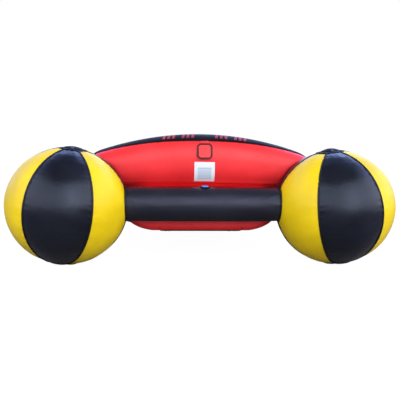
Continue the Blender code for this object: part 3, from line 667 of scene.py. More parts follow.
def make_ball(word, side):
    centre = ball_frame(side).translation
    runs = []
    for colour, number, first, last in panels():
        mat = BLACK if colour == "black" else YELLOW
        name = f"{word}_ball_{colour}_gore_{number}"
        piece = gore(side, name, (first + last) / 2, (last - first) / 2, mat)
        place(piece, "lounge", [f"ball_{word}_{colour}_panel_{number}"])
        polars = spread(PIPING_POLE, pi - PIPING_POLE, 110)
        spots = [ball_point(side, last, polar, 0.0012, 1.0) for polar in polars]
        runs.append([(spot, (spot - centre).normalized()) for spot in spots])
    piece = sweep(f"{word}_ball_piping", runs, piping_profile(0.0065, 0.0028), [PIPING])
    place(piece, "lounge")
    name = f"{word}_ball_top_cap"
    cap = ball_sphere_cap(side, name, (0.075, CAP_ANGLE), 0.0004, 0.0042, [DULL_BLACK])
    place(cap, "lounge", [f"ball_{word}_top_cap"])
    name = f"{word}_ball_base_patch"
    foot = ball_sphere_cap(side, name, (0.004, PATCH_ANGLE), 0.0002, 0.0056, [BLACK], True)
    place(foot, "lounge", [f"ball_{word}_base_patch"])
    make_ball_valve(word, side)


def ball_top(side):
    return ball_frame(side) @ Matrix.Translation((0, 0, BALL_HALF_HEIGHT + 0.0012 + SKIN))


def valve(name, matrix, mat, plug_height, node):
    """A push-in valve turned from one profile: a flange on the cover, a plug in its middle and a stem below.
    """
    profile = [
        (0.0, 0.0032 + plug_height), (0.0175, 0.0032 + plug_height), (0.0190, 0.0026 + plug_height),
        (0.0200, 0.0022), (0.0215, 0.0022), (0.0225, 0.0030), (0.0290, 0.0031), (0.0312, 0.0025),
        (0.0320, 0.0012), (0.0222, 0.0012), (0.0222, -0.0200), (0.0, -0.0200),
    ]
    piece = turned(name, profile, matrix, [mat], 48)
    return place(piece, "lounge", [node])


def make_ball_valve(word, side):
    seat = ball_top(side)
    valve(f"{word}_ball_valve", seat, BLACK_PLASTIC, 0.0008, f"ball_{word}_valve")
    r, wall = VALVE_COVER_RADIUS, VALVE_COVER_WALL
    body = f"{word}_valve_cover"

    def under(distance):
        """Height of the underside above the hinge line: humped over the valve, draped on the ball."""
        share = min(distance / r, 1.0)
        hump = VALVE_COVER_HUMP[word] * (1 - share**2.2) ** 1.2
        return hump - VALVE_COVER_DROOP * share**2

    matrix = seat @ Matrix.Translation((0, 0, VALVE_COVER_HINGE))
    normal = normal_of(matrix)
    outer = [(x, under(x) + wall) for x in spread(0.0, 0.98 * r, 16)]
    inner = [(x, z - wall) for x, z in reversed(outer)]
    low = under(r)
    rim = [(r * 1.004, low + wall * 0.85), (r * 1.008, low + wall * 0.45), (r, low + 0.0003)]
    piece = turned(f"{word}_valve_cover_dome", outer + rim + inner, matrix, [DULL_BLACK], 64)
    place(piece, body, [f"ball_{word}_valve_cover"])
    ring = [
        (matrix @ Vector((r * cos(a), r * sin(a), low + wall * 0.6)), normal) for a in circle(64)
    ]
    edge = sweep(f"{word}_valve_cover_binding", [ring], round_profile(0.0019), [PIPING], True)
    place(edge, body)
    ends = [(-0.66 * r, 0.0008), (-0.80 * r, 0.0008), (-0.92 * r, 0.0008), (-1.04 * r, 0.0006)]
    path = [matrix @ Vector((0, y, under(-y) + wall + up)) for y, up in ends]
    path.append(matrix @ Vector((0, -1.26 * r, low - 0.0004)))
    pull = flat_strap(f"{word}_valve_cover_pull", path, normal, 0.018, 0.0014, PIPING)
    place(pull, body)
    sewn = [(y, under(y) + wall + 0.0008) for y in (0.72 * r, 0.86 * r, 0.98 * r)]
    loose = ((1.07, 0.0002), (1.16, -0.0010), (1.32, -0.0026), (1.52, -0.0046))
    path = [matrix @ Vector((0, y, z)) for y, z in sewn + [(k * r, low + drop) for k, drop in loose]]
    tongue = flat_strap(f"{word}_valve_cover_tongue", path, normal, 0.034, 0.0012, DULL_BLACK)
    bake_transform(tongue)


# ---------------------------------------------------------------- cross tube


def tube_point(x, angle, proud=0.0):
    """Angle 0 is the rear, 90 degrees the top."""
    r = TUBE_RADIUS + proud
    return Vector((x, AXIS_Y - r * cos(angle), TUBE_Z + r * sin(angle)))


def fold(x, angle, start, end, width, height):
    """A straight crease between two (x, angle) places on the tube, as a ridge."""
    a = Vector((x - start[0], (angle - start[1]) * TUBE_RADIUS))
    b = Vector((end[0] - start[0], (end[1] - start[1]) * TUBE_RADIUS))
    t = max(0.0, min(1.0, a.dot(b) / b.length_squared))
    return height * (1 - 0.7 * t) * exp(-((a - b * t).length / width) ** 2)


def make_cross_tube_cover():
    folds = (  # start and end as (x, angle), width, height
        ((-0.455, 1.15), (-0.395, -0.10), 0.010, 0.0030),
        ((-0.455, 0.55), (-0.330, 0.25), 0.013, 0.0022),
        ((0.455, 0.90), (0.360, 0.35), 0.012, 0.0024),
        ((0.455, 0.10), (0.345, 0.30), 0.010, 0.0018),
        ((0.455, -0.5), (0.380, -0.30), 0.012, 0.0018),
    )
    rows, seams = [], []
    reach = TUBE_HALF + 0.0015
    for x in spread(-reach, reach, 150):
        row, line = [], []
        to_end = reach - abs(x)
        for angle in circle(72):
            wrapped = angle if angle <= pi else angle - 2 * pi
            proud = 0.0022 * (1 - (x / reach) ** 2) - 0.0032 * exp(-to_end / 0.010)
            side = 1.0 if x > 0 else 2.0
            proud += pucker(to_end, angle * TUBE_RADIUS, 0.030, 0.0317, 0.0017, side)
            proud += 0.0008 * ripple(x, cos(angle), sin(angle), 0.16)
            proud += sum(fold(x, wrapped, *f) for f in folds)
            row.append(tube_point(x, angle, proud))
            line.append(exp(-to_end / 0.008))
        rows.append(row)
        seams.append(line)
    piece = skin(
        "cross_tube_cover", rows, [PAINTED_BRIGHT_TUBE_BLACK], wrap=True, values=seams, thickness=SKIN,
        centre=Vector((0, AXIS_Y, TUBE_Z)),
    )
    place(piece, "lounge", ["cross_tube_sleeve"])


def make_cross_tube():
    make_cross_tube_cover()
    runs = []
    for side in (-1, 1):
        ring = []
        for angle in circle(72):
            spot = tube_point(side * (TUBE_HALF + 0.0022), angle, 0.0008)
            ring.append((spot, (spot - Vector((spot.x, AXIS_Y, TUBE_Z))).normalized()))
        runs.append(ring)
    ends = sweep("cross_tube_end_piping", runs, round_profile(0.0048), [PIPING], True)
    place(ends, "lounge")
    seat = Matrix.Translation((TUBE_VALVE_X, AXIS_Y, TUBE_Z + TUBE_RADIUS))
    boss = seat @ Matrix.Translation((0, 0, 0.0012))
    valve("cross_tube_boss", boss, DULL_BLACK, 0.0, "cross_tube_valve")
    cap = [
        (0.0, 0.0068), (0.010, 0.0070), (0.0175, 0.0066), (0.0200, 0.0052), (0.0212, 0.0030),
        (0.0212, 0.0002), (0.0, 0.0002),
    ]
    rim = seat @ Matrix.Translation((0, 0, 0.0052))
    lid = turned("cross_tube_cap", cap, rim, [BLUE_PLASTIC], 48)
    place(lid, "tube_valve_cap", ["cross_tube_valve_cap"])
    strip = ((0.018, 0.0072), (0.022, 0.0066), (0.026, 0.0052), (0.030, 0.0047))
    spots = [seat @ Vector((0, y, z)) for y, z in strip]
    up = Vector((0, 0, 1))
    hinge = flat_strap("cross_tube_cap_hinge", spots, up, 0.012, 0.0014, BLUE_PLASTIC)
    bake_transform(hinge)


# ---------------------------------------------------------------- backrest


def back_section(x):
    far = abs(x)
    top = BACK_TOP - BACK_SAG * far * far - BACK_END_SAG * max(0.0, far - BACK_END) ** 2
    low = BACK_LOW + BACK_LOW_RISE * max(0.0, far - BACK_LOW_LEVEL)
    bend = (max(0.0, far - BACK_STRAIGHT) / 0.35) ** 2
    rear = BACK_REAR + BACK_SWEEP * bend
    front = BACK_FRONT + BACK_FRONT_SWEEP * bend
    return (rear + front) / 2, (top + low) / 2, (front - rear) / 2, (top - low) / 2


def clear_of_balls(spot):
    """The spot, pushed forward where a ball presses into the backrest."""
    sideways = abs(spot.x) - BALL_X
    upwards = (spot.z - BALL_Z) * BALL_RADIUS / BALL_HALF_HEIGHT
    room = (BALL_RADIUS + BALL_CLEARANCE) ** 2 - sideways**2 - upwards**2
    if room > 0:
        spot.y = max(spot.y, AXIS_Y + sqrt(room))
    return spot


def back_shrink(x):
    over = max(0.0, abs(x) - BACK_ROUND_FROM) / (BACK_HALF - BACK_ROUND_FROM)
    return sqrt(max(0.0, 1 - over * over))


def back_point(x, angle, proud=0.0):
    """Angle 0 is the rear, 90 the top and 180 the front, in degrees."""
    y, z, depth, height = back_section(x)
    shrink = back_shrink(x)
    c, s = cos(radians(angle)), sin(radians(angle))
    along, up = power(c, 2 / BACK_POWER), power(s, 2 / BACK_POWER)
    slope = 2 - 2 / BACK_POWER
    normal = Vector((0, -power(c, slope) / depth, power(s, slope) / height))
    spot = Vector((x, AXIS_Y + y - depth * shrink * along, z + height * shrink * up))
    return clear_of_balls(spot + proud * normal.normalized())


def panel_angles(x):
    """The top panel's rear and front edges, which draw together at its ends."""
    fall = PANEL_FALL * (abs(x) / PAD_HALF) ** 1.6
    taper = PANEL_TAPER * (max(0.0, abs(x) - PANEL_TAPER_FROM) / PANEL_TAPER_REACH) ** 2
    rear = PANEL_REAR_ANGLE + fall
    return rear, max(PANEL_FRONT_ANGLE - fall - taper, rear + PANEL_LEAST)


def back_wrinkle(x, angle):
    """Ripples of the cover: puckers at the top panel's seam, a long fold low on the rear, and end gathers."""
    out = 0.0022 * ripple(x, angle / 100, 0.5, 0.55)
    for seed, seam in enumerate(panel_angles(x), 1):
        out += pucker(abs(angle - seam) * BACK_DEGREE, x, 0.022, 0.050, 0.0011, seed)
    across = (angle - CREASE_ANGLE + CREASE_WAVE * sin(5 * x + 0.6)) / CREASE_WIDTH
    middle = max(0.0, min(1.0, (x + 0.16) / 0.20)) * max(0.0, min(1.0, (0.50 - x) / 0.12))
    ridge, furrow = exp(-((across - 0.9) ** 2)), exp(-((across + 0.9) ** 2))
    out += CREASE_DEPTH * (0.35 + 0.65 * middle) * (ridge - 1.2 * furrow)
    to_end, seed = max(0.0, BACK_END - abs(x)), 3.0 if x > 0 else 4.0
    gathers = pucker(to_end, angle * BACK_DEGREE, 0.060, 0.075, 0.0024, seed)
    return (out + gathers * back_shrink(x)) * min(1.0, 3 * back_shrink(x))


def on_back(name, xs, edges_at, columns, low, high, mats, edge, relief=None):
    """A thin piece that lies on the backrest between two angles, its borders rounded down."""
    top, bottom, across, up = [], [], [], []
    count = len(xs) - 1
    for i, x in enumerate(xs):
        first, last = edges_at(x)
        rows = ([], [], [], [])
        for j, angle in enumerate(spread(first, last, columns)):
            u, v = i / count, j / columns
            rim = min(u / edge, (1 - u) / edge, v / edge, (1 - v) / edge, 1.0)
            rise = sqrt(max(0.0, 1 - (1 - max(rim, 0.0)) ** 2))
            lift = low + (high - low) * rise * (relief(u, v) if relief else 1.0)
            rows[0].append(back_point(x, angle, max(lift, low + 0.0002)))
            rows[1].append(back_point(x, angle, low - 0.0008))
            rows[2].append(u)
            rows[3].append(v)
        for grid, row in zip((top, bottom, across, up), rows):
            grid.append(row)
    return slab(name, top, bottom, mats, {"across": across, "up": up})


def make_backrest_cover():
    rows, seams = [], []
    for x in spread(-1.0, 1.0, 150):
        x = 0.9995 * BACK_HALF * sin(x * pi / 2)
        row, line = [], []
        low, high = panel_angles(x)
        for i in range(96):
            angle = 360 * i / 96
            wrapped = angle if angle <= 270 else angle - 360
            row.append(back_point(x, angle, back_wrinkle(x, wrapped)))
            gap = min(abs(wrapped - low), abs(wrapped - high)) * BACK_DEGREE
            line.append(0.8 * exp(-gap / 0.010))
        rows.append(row)
        seams.append(line)
    piece = skin("backrest_shell", rows, [RED], wrap=True, caps=True, values=seams)
    place(piece, "lounge", ["backrest_cover"])


def make_prints():
    """Plain slanted bars in place of the lettering on the top panel."""
    bm = bmesh.new()
    for start in BAR_STARTS:
        for k in range(3):
            top, bottom = [], []
            for share, angle in zip(spread(0.0, 1.0, 10), spread(*BAR_ANGLES, 10)):
                left = start + BAR_PITCH * k + BAR_SLANT * share
                across = spread(left, left + BAR_WIDTH, 2)
                top.append([back_point(x, angle, 0.0050) for x in across])
                bottom.append([back_point(x, angle, 0.0042) for x in across])
            add_slab(bm, top, bottom)
    bmesh.ops.recalc_face_normals(bm, faces=bm.faces)
    place(to_object("backrest_slanted_bars", bm, [PRINT]), "lounge")


def flap_frame():
    at = back_point(FLAP_X, FLAP_ANGLE)
    up = back_point(FLAP_X, FLAP_ANGLE + 1) - back_point(FLAP_X, FLAP_ANGLE - 1)
    tilt = Vector((0, up.y, up.z)).normalized()
    return Matrix.Translation(at) @ Matrix.Rotation(pi / 2 - asin(tilt.y), 4, "X")


def rounded_outline(width, height, radius, steps=8):
    """Points round a rectangle with round corners, counter-clockwise."""
    spots = []
    for cx, cy, start in ((1, 1, 0), (-1, 1, 90), (-1, -1, 180), (1, -1, 270)):
        centre = Vector((cx * (width / 2 - radius), cy * (height / 2 - radius)))
        for a in spread(start, start + 90, steps):
            spots.append(centre + radius * Vector((cos(radians(a)), sin(radians(a)))))
    return spots


def rounded_plate(name, matrix, width, height, radius, low, thick, dome, mats):
    """A thin plate with round corners and a slightly domed face."""
    outline = rounded_outline(width, height, radius)
    top, bottom = [], []
    for share in spread(0.02, 1.0, 10):
        rise = dome * (1 - share**2)
        edge = thick * (1.0 if share < 0.99 else 0.6)
        for grid, z in ((top, low + rise + edge), (bottom, low + rise)):
            grid.append([matrix @ Vector((p.x * share, p.y * share, z)) for p in outline])
    bm = bmesh.new()
    made = [add_rows(bm, rows, wrap=True) for rows in (top, bottom)]
    for rows in made:
        bm.faces.new(rows[0])
    count = len(outline)
    for i in range(count):
        j = (i + 1) % count
        bm.faces.new((made[0][-1][i], made[0][-1][j], made[1][-1][j], made[1][-1][i]))
    bmesh.ops.recalc_face_normals(bm, faces=bm.faces)
    return to_object(name, bm, mats)


def make_flap():
    seat = flap_frame()
    valve("backrest_boss", seat, BLACK_PLASTIC, 0.0005, "backrest_valve")
    low, normal = FLAP_STANDOFF - 0.001, normal_of(seat)
    size = FLAP_WIDTH, FLAP_HEIGHT
    plate = rounded_plate("valve_flap", seat, *size, 0.026, low, 0.002, 0.0015, [RED])
    place(plate, "backrest_flap", ["backrest_valve_flap"])
    outline = rounded_outline(FLAP_WIDTH - FLAP_BINDING, FLAP_HEIGHT - FLAP_BINDING, 0.021)
    run = [(seat @ Vector((p.x, p.y, low + 0.0024)), normal) for p in outline]
    rim = sweep("valve_flap_binding", [run], round_profile(0.0062, 10, 0.35), [BINDING], True)
    place(rim, "backrest_flap")
    top = FLAP_HEIGHT / 2
    path = [(top - 0.012, low + 0.0030), (top - 0.004, low + 0.0028), (top, low + 0.0016)]
    path += [(top + 0.006, 0.0018), (top + 0.014, 0.0006)]
    spots = [seat @ Vector((0, y, z)) for y, z in path]
    tongue = flat_strap("valve_flap_hinge", spots, normal, 0.046, 0.0012, RED)
    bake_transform(tongue)


def pad_relief(u, v):
    """Eight upright sewn channels across the back pad."""
    channel = abs(sin(8 * pi * u))
    return 0.42 + 0.58 * min(1.0, channel * 1.5) ** 0.6


def make_backrest():
    make_backrest_cover()
    wide = spread(-PANEL_HALF, PANEL_HALF, 120)
    panel = on_back(
        "backrest_black_panel", wide, panel_angles, 26, 0.0016, 0.0045, [DULL_BLACK], edge=0.03
    )
    place(panel, "lounge", ["backrest_top_panel"])
    make_prints()
    pad = on_back(
        "backrest_pad", spread(-PAD_HALF, PAD_HALF, 160), lambda x: PAD_ANGLES, 30, 0.0020, 0.0195,
        [NEOPRENE], edge=0.05, relief=pad_relief,
    )
    place(pad, "lounge", ["backrest_front_pad"])
    label = on_back(
        "care_label", spread(*LABEL_X, 14), lambda x: LABEL_PLACE, 16, 0.0016, 0.0024, [LABEL],
        edge=0.03,
    )
    place(label, "lounge", ["backrest_label"])
    make_flap()


# ---------------------------------------------------------------- seat hull


def deck_z(y):
    (y0, z0), (y1, z1) = DECK_REAR, DECK_FRONT
    return z0 + (z1 - z0) * (y - y0) / (y1 - y0) if y > y0 else z0


def hull_sizes(y):
    return smooth_through(y, HULL_WIDTH), deck_z(y), smooth_through(y, HULL_BOTTOM)


def hull_point(y, angle, proud=0.0):
    """Angle 0 is the right side and 90 degrees the deck."""
    half, top, low = hull_sizes(y)
    to_rear, to_front = (y - HULL_REAR) / HULL_REAR_ROUND, (HULL_FRONT - y) / HULL_FRONT_ROUND
    ease = HULL_DRAW_IN * max(0.0, 1 - to_rear, 1 - to_front) ** 2
    half, top, low = half - ease + proud, top - ease + proud, low + ease - proud
    exponent = 2 / (HULL_POWER if sin(angle) > 0 else smooth_through(y, HULL_LOW_POWER))
    x = half * power(cos(angle), exponent)
    rise = (top - low) / 2 * (1 + power(sin(angle), exponent))
    if rise < 3 * HULL_FLAT:
        rise = max(0.0, rise - HULL_FLAT + rise / 3)
    return Vector((x, AXIS_Y + y, low + rise))


def hull_wrinkle(y, angle):
    out = 0.0
    for seed, seam in enumerate(HULL_SEAMS, 1):
        gap = turn_between(angle, seam) * HULL_RADIAN
        out += pucker(gap, y, 0.030, 0.055, 0.0016, seed)
        out += pucker(gap, y, 0.090, 0.170, 0.0016, seed + 9)
    side = abs(cos(angle)) ** 6
    out += 0.0030 * side * ripple(y, angle, 2.0, 0.26)
    return out


def hull_skin(y, angle, proud=0.0):
    """The hull's surface with its wrinkles, which fade out at the ends and on the deck."""
    to_end = min(y - HULL_REAR, HULL_FRONT - y)
    out = hull_wrinkle(y, angle) * max(0.0, min(1.0, to_end / 0.05))
    if sin(angle) > 0.85 and abs(hull_point(y, angle).x) < 0.5:
        out = min(out, 0.001)
    return hull_point(y, angle, out + proud)


def hull_normal(y, angle):
    along = hull_point(y + 0.003, angle) - hull_point(y - 0.003, angle)
    around = hull_point(y, angle + 0.01) - hull_point(y, angle - 0.01)
    return along.cross(around).normalized()


def seam_loop(seam):
    """A seam down both sides of the hull and across its two ends."""
    corner = 0.004
    ends = {1: HULL_FRONT + 0.0012, -1: HULL_REAR - 0.0012}
    rear = HULL_REAR + (BASE_SETBACK if seam == KEEL_SEAM else corner)
    loop = []
    for side in (1, -1):
        angle = seam if side > 0 else pi - seam
        along = spread(rear, HULL_FRONT - corner, 130)
        for y in along if side > 0 else reversed(along):
            loop.append((hull_skin(y, angle, 0.0012), hull_normal(y, angle)))
        if side < 0 and seam == KEEL_SEAM:
            for a in spread(pi - seam, 2 * pi + seam, 26)[1:-1]:
                loop.append((hull_point(rear, a, 0.0010), Vector((cos(a), 0, sin(a)))))
            continue
        end = hull_point(HULL_FRONT if side > 0 else HULL_REAR, angle)
        reach = abs(end.x) - 3 * corner
        for x in spread(side * reach, -side * reach, 24):
            loop.append((Vector((x, AXIS_Y + ends[side], end.z)), Vector((0, side, 0))))
    return loop


def make_hull():
    bm = bmesh.new()
    layer = bm.verts.layers.float.new("seam")
    rows, seams = [], []
    count = 128
    for y in spread(HULL_REAR, HULL_FRONT, 150):
        row, line = [], []
        for angle in circle(count):
            row.append(hull_skin(y, angle))
            near = min(turn_between(angle, seam) for seam in HULL_SEAMS)
            line.append(0.8 * exp(-near * HULL_RADIAN / 0.010))
        rows.append(row)
        seams.append(line)
    made = add_rows(bm, rows, wrap=True, layer=layer, values=seams)
    bm.faces.ensure_lookup_table()
    for number, face in enumerate(bm.faces):
        turn = 2 * pi * (number % count + 0.5) / count
        beneath = face.calc_center_median().y > AXIS_Y + HULL_REAR + BASE_SETBACK
        if beneath and abs(turn - 1.5 * pi) < pi / 2 + KEEL_SEAM:
            face.material_index = 1
    for row in (made[0], made[-1]):
        ring = row
        middle = sum((v.co for v in ring), Vector()) / count
        for shrink in (0.94, 0.80, 0.5):
            inner = [bm.verts.new(middle + (v.co - middle) * shrink) for v in row]
            for i in range(count):
                j = (i + 1) % count
                bm.faces.new((ring[i], ring[j], inner[j], inner[i]))
            ring = inner
        bm.faces.new(ring)
    bmesh.ops.recalc_face_normals(bm, faces=bm.faces)
    piece = to_object("hull_shell", bm, [RED, BLACK])
    place(piece, "lounge", ["hull_cover"])
    for name, seam, profile in (
        ("hull_side_piping", SIDE_SEAM, piping_profile(0.0080, 0.0042)),
        ("hull_keel_piping", KEEL_SEAM, piping_profile(0.0040, 0.0022)),
    ):
        place(sweep(name, [seam_loop(seam)], profile, [PIPING], True), "lounge")


def deck_point(x, y, proud=0.0):
    """A point on the deck above (x, y)."""
    half, top, low = hull_sizes(y)
    middle, height = (top + low) / 2, (top - low) / 2
    z = middle + height * (1 - min(0.999, abs(x) / half) ** HULL_POWER) ** (1 / HULL_POWER)
    return Vector((x, AXIS_Y + y, z + proud))


def make_seat_pad(word, side):
    """Foam covered in neoprene: blown up a little, sewn down in channels, and laid on the curved deck."""
    width, length, thick = SEAT_PAD_SIZE
    bm = bmesh.new()
    bmesh.ops.create_cube(bm, size=1.0)
    size = (width - SEAT_PAD_TRIM, length - SEAT_PAD_TRIM, thick - SEAT_PAD_THIN)
    bmesh.ops.scale(bm, vec=size, verts=bm.verts)
    bmesh.ops.bevel(
        bm, geom=[e for e in bm.edges if abs(e.verts[0].co.z - e.verts[1].co.z) > 0.005],
        offset=SEAT_PAD_CORNER, segments=6, affect="EDGES", profile=0.5,
    )
    pad = to_object(f"seat_cushion_{word}", bm, [NEOPRENE])
    remesh = pad.modifiers.new("remesh", "REMESH")
    remesh.mode = "VOXEL"
    remesh.voxel_size = 0.0055
    apply_modifiers(pad)
    inflate(pad, SEAT_PAD_PRESSURE, SEAT_PAD_SWELL)
    settle_pad(pad, side, length, thick)
    place(pad, "lounge", [f"seat_pad_{word}"])


def apply_modifiers(obj):
    graph = bpy.context.evaluated_depsgraph_get()
    graph.update()
    mesh = bpy.data.meshes.new_from_object(obj.evaluated_get(graph))
    obj.modifiers.clear()
    obj.data = mesh
    mesh.shade_smooth()


def inflate(obj, pressure, most):
    """Cloth under pressure for 20 frames. No point moves further than most."""
    scene = bpy.context.scene
    start = [v.co.copy() for v in obj.data.vertices]
    cloth = obj.modifiers.new("cloth", "CLOTH")
    cloth.settings.use_pressure = True
    cloth.settings.uniform_pressure_force = pressure
    cloth.settings.effector_weights.gravity = 0.0
    cloth.settings.quality = 5
    cloth.point_cache.frame_start, cloth.point_cache.frame_end = 1, 20
    for number in range(1, 21):
        scene.frame_set(number)
    apply_modifiers(obj)
    scene.frame_set(1)
    for vert, at in zip(obj.data.vertices, start):
        move = vert.co - at
        if move.length > most:
            vert.co = at + move.normalized() * most


def settle_pad(pad, side, length, thick):
    """Sews five channels across the pad, flattens its underside and lays it on the deck."""
    tilt = Matrix.Rotation(DECK_TILT, 3, "X")
    for vert in pad.data.vertices:
        x, y, z = vert.co
        low = -thick / 2 + 0.001
        if z > -0.002:
            groove = exp(-(((y / length * 6 + 0.5) % 1.0 - 0.5) / 0.055) ** 2)
            rim = min(1.0, (length / 2 - abs(y)) / 0.03)
            z -= SEAT_PAD_GROOVE * groove * max(0.0, rim)
        z = max(z, low)
        up = z - low + 0.0012
        y_along = SEAT_PAD_Y + y * tilt[1][1]
        vert.co = deck_point(side * SEAT_PAD_X + x, y_along, up)
    fine = pad.modifiers.new("fine", "SUBSURF")
    fine.levels = fine.render_levels = 1


def deck_patch(name, x_range, y_range, thickness, mats, columns=(16, 24)):
    """A thin patch glued on the deck."""
    top, bottom = [], []
    for i, x in enumerate(spread(*x_range, columns[0])):
        rows = ([], [])
        for j, y in enumerate(spread(*y_range, columns[1])):
            u, v = i / columns[0], j / columns[1]
            rim = min(u, 1 - u) * columns[0], min(v, 1 - v) * columns[1]
            rise = min(1.0, min(rim) + 0.35)
            rows[0].append(deck_point(x, y, 0.0006 + thickness * rise))
            rows[1].append(deck_point(x, y, 0.0002))
        top.append(rows[0])
        bottom.append(rows[1])
    return slab(name, top, bottom, mats)


def make_zip():
    end = ZIP_HALF + ZIP_TAPE_END
    across = (ZIP_Y - ZIP_TAPE_HALF, ZIP_Y + ZIP_TAPE_HALF)
    tape = deck_patch("zip_tape_woven", (-end, end), across, 0.0014, [WEBBING], (60, 8))
    place(tape, "lounge", ["zip_tape"])
    bm = bmesh.new()
    for k in range(ZIP_TEETH):
        x = lerp(-ZIP_HALF, ZIP_HALF, (k + 0.5) / ZIP_TEETH)
        spot = deck_point(x, ZIP_Y + (0.0009 if k % 2 else -0.0009), 0.0026)
        turn = Matrix.Translation(spot) @ Matrix.Rotation(DECK_TILT, 4, "X")
        for vert in bmesh.ops.create_cube(bm, size=1.0)["verts"]:
            vert.co = turn @ (vert.co * ZIP_TOOTH)
    teeth = to_object("zip_teeth", bm, [BLACK_PLASTIC])
    place(teeth, "lounge")
    low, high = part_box("zip_slider")
    centre = (low + high) / 2
    matrix = Matrix.Translation(centre) @ Matrix.Rotation(DECK_TILT, 4, "X")
    body = rounded_plate(
        "zip_slider_body", matrix, 0.018, 0.012, 0.004, -0.003, 0.0045, 0.0012, [STEEL]
    )
    place(body, "zip_slider", ["zip_slider"])
    path = ((0.004, 0.0030), (-0.006, 0.0038), (-0.020, 0.0030), (-0.034, 0.0016))
    spots = [matrix @ Vector((x, 0, z)) for x, z in path]
    pull = flat_strap("zip_pull", spots, normal_of(matrix), 0.008, 0.0012, STEEL)
    place(pull, "zip_slider")


def make_hull_details():
    for word, side in SIDES:
        make_seat_pad(word, side)
    make_zip()
    x, y = HULL_VALVE
    seat = Matrix.Translation(deck_point(x, y, 0.0004)) @ Matrix.Rotation(DECK_TILT, 4, "X")
    valve("hull_boss", seat, BLACK_PLASTIC, 0.003, "hull_valve")
    low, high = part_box("keel_patch")
    matrix = Matrix.Translation(((low.x + high.x) / 2, (low.y + high.y) / 2, 0))
    size = high.x - low.x, high.y - low.y
    keel = rounded_plate("keel_wear_patch", matrix, *size, 0.030, 0.0, high.z, 0.0, [BLACK])
    place(keel, "lounge", ["keel_patch"])


# ---------------------------------------------------------------- armrests and nose roll


def round_end(distance):
    share = min(1.0, max(0.0, distance) / CUSHION_ROUND)
    return sqrt(max(0.0, 1 - (1 - share) ** 2))


def cushion_point(centre, across, half_across, half_height, angle):
    u = half_across * power(cos(angle), 2 / CUSHION_POWER)
    v = half_height * power(sin(angle), 2 / CUSHION_POWER)
    return centre + u * across + Vector((0, 0, v))


def arm_point(side, y, angle, proud=0.0):
    start, stop = ARM_RANGE
    shrink = round_end(min(y - start, stop - y))
    centre = Vector((side * ARM_X, AXIS_Y + y, deck_z(y) + ARM_LIFT))
    width, height = ARM_HALF_WIDTH * shrink + proud, ARM_HALF_HEIGHT * shrink + proud
    spot = cushion_point(centre, Vector((side, 0, 0)), width, height, angle)
    spot.z -= ARM_SEATING * shrink * max(0.0, -sin(angle))
    return spot


def roll_point(x, angle, proud=0.0):
    shrink = round_end(ROLL_HALF - abs(x))
    y = ROLL_Y - ROLL_CURVE * (x / ROLL_HALF) ** 2
    slope = -2 * ROLL_CURVE * x / ROLL_HALF**2
    depth = (ROLL_HALF_DEPTH - 0.030 * (abs(x) / ROLL_HALF) ** 2) * shrink + proud
    height = ROLL_HALF_HEIGHT * shrink + proud
    across = Vector((-slope, 1, 0)).normalized()
    centre = Vector((x, AXIS_Y + y, deck_z(ROLL_Y) + ROLL_LIFT))
    return cushion_point(centre, across, depth, height, angle)


def make_cushion(name, surface, ends, node, seed):
    """A red cushion with a black top panel, piping along the panel and round both ends."""
    start, stop = ends
    seam_at = CUSHION_ROUND * 0.95
    rows, seams = [], []
    for share in spread(-1.0, 1.0, 110):
        place_along = lerp(start, stop, (sin(share * pi / 2) + 1) / 2)
        place_along = min(max(place_along, start + 0.0004), stop - 0.0004)
        to_end = min(place_along - start, stop - place_along)
        fade = round_end(to_end)
        row, line = [], []
        end_seed = seed + (1 if place_along > 0.5 else 0)
        for angle in circle(72):
            turn = angle * CUSHION_RADIAN
            out = pucker(abs(to_end - seam_at), turn, 0.022, 0.0373, 0.0020, end_seed)
            near = min(abs(angle - seam) for seam in PANEL_SEAMS) * CUSHION_RADIAN
            out += pucker(near, place_along, 0.016, 0.034, 0.0010, seed + 3)
            out += 0.0018 * ripple(place_along, cos(angle), sin(angle) + seed, 0.14)
            row.append(surface(place_along, angle, out * fade))
            line.append(0.8 * exp(-abs(to_end - seam_at) / 0.008))
        rows.append(row)
        seams.append(line)
    shell = skin(f"{name}_shell", rows, [RED], wrap=True, caps=True, values=seams)
    place(shell, "lounge", [node])
    low, high = start + seam_at, stop - seam_at
    top, bottom = [], []
    for p in spread(low, high, 90):
        angles = spread(*PANEL_SEAMS, 18)
        top.append([surface(p, a, 0.0030) for a in angles])
        bottom.append([surface(p, a, 0.0006) for a in angles])
    place(slab(f"{name}_top_panel", top, bottom, [BLACK]), "lounge")
    runs = []
    for seam in PANEL_SEAMS:
        spots = [surface(p, seam, 0.0014) for p in spread(low, high, 90)]
        runs.append([(s, s - surface(p, seam, -0.02)) for s, p in zip(spots, spread(low, high, 90))])
    long_piping = sweep(f"{name}_panel_piping", runs, piping_profile(0.0065, 0.0032), [PIPING])
    place(long_piping, "lounge")
    rings = []
    for p in (low, high):
        ring = []
        for angle in circle(72):
            spot = surface(p, angle, 0.0014)
            ring.append((spot, spot - surface(p, angle, -0.02)))
        rings.append(ring)
    end_piping = sweep(f"{name}_end_piping", rings, piping_profile(0.0065, 0.0034), [PIPING], True)
    place(end_piping, "lounge")


def make_inflation_plug(name, matrix):
    profile = [
        (0.0, 0.0052), (0.0065, 0.0052), (0.0078, 0.0042), (0.0082, 0.0026), (0.0125, 0.0022),
        (0.0135, 0.0010), (0.0135, 0.0002), (0.0085, 0.0002), (0.0085, -0.010), (0.0, -0.010),
    ]
    place(turned(name, profile, matrix, [BLACK_PLASTIC], 36), "lounge")


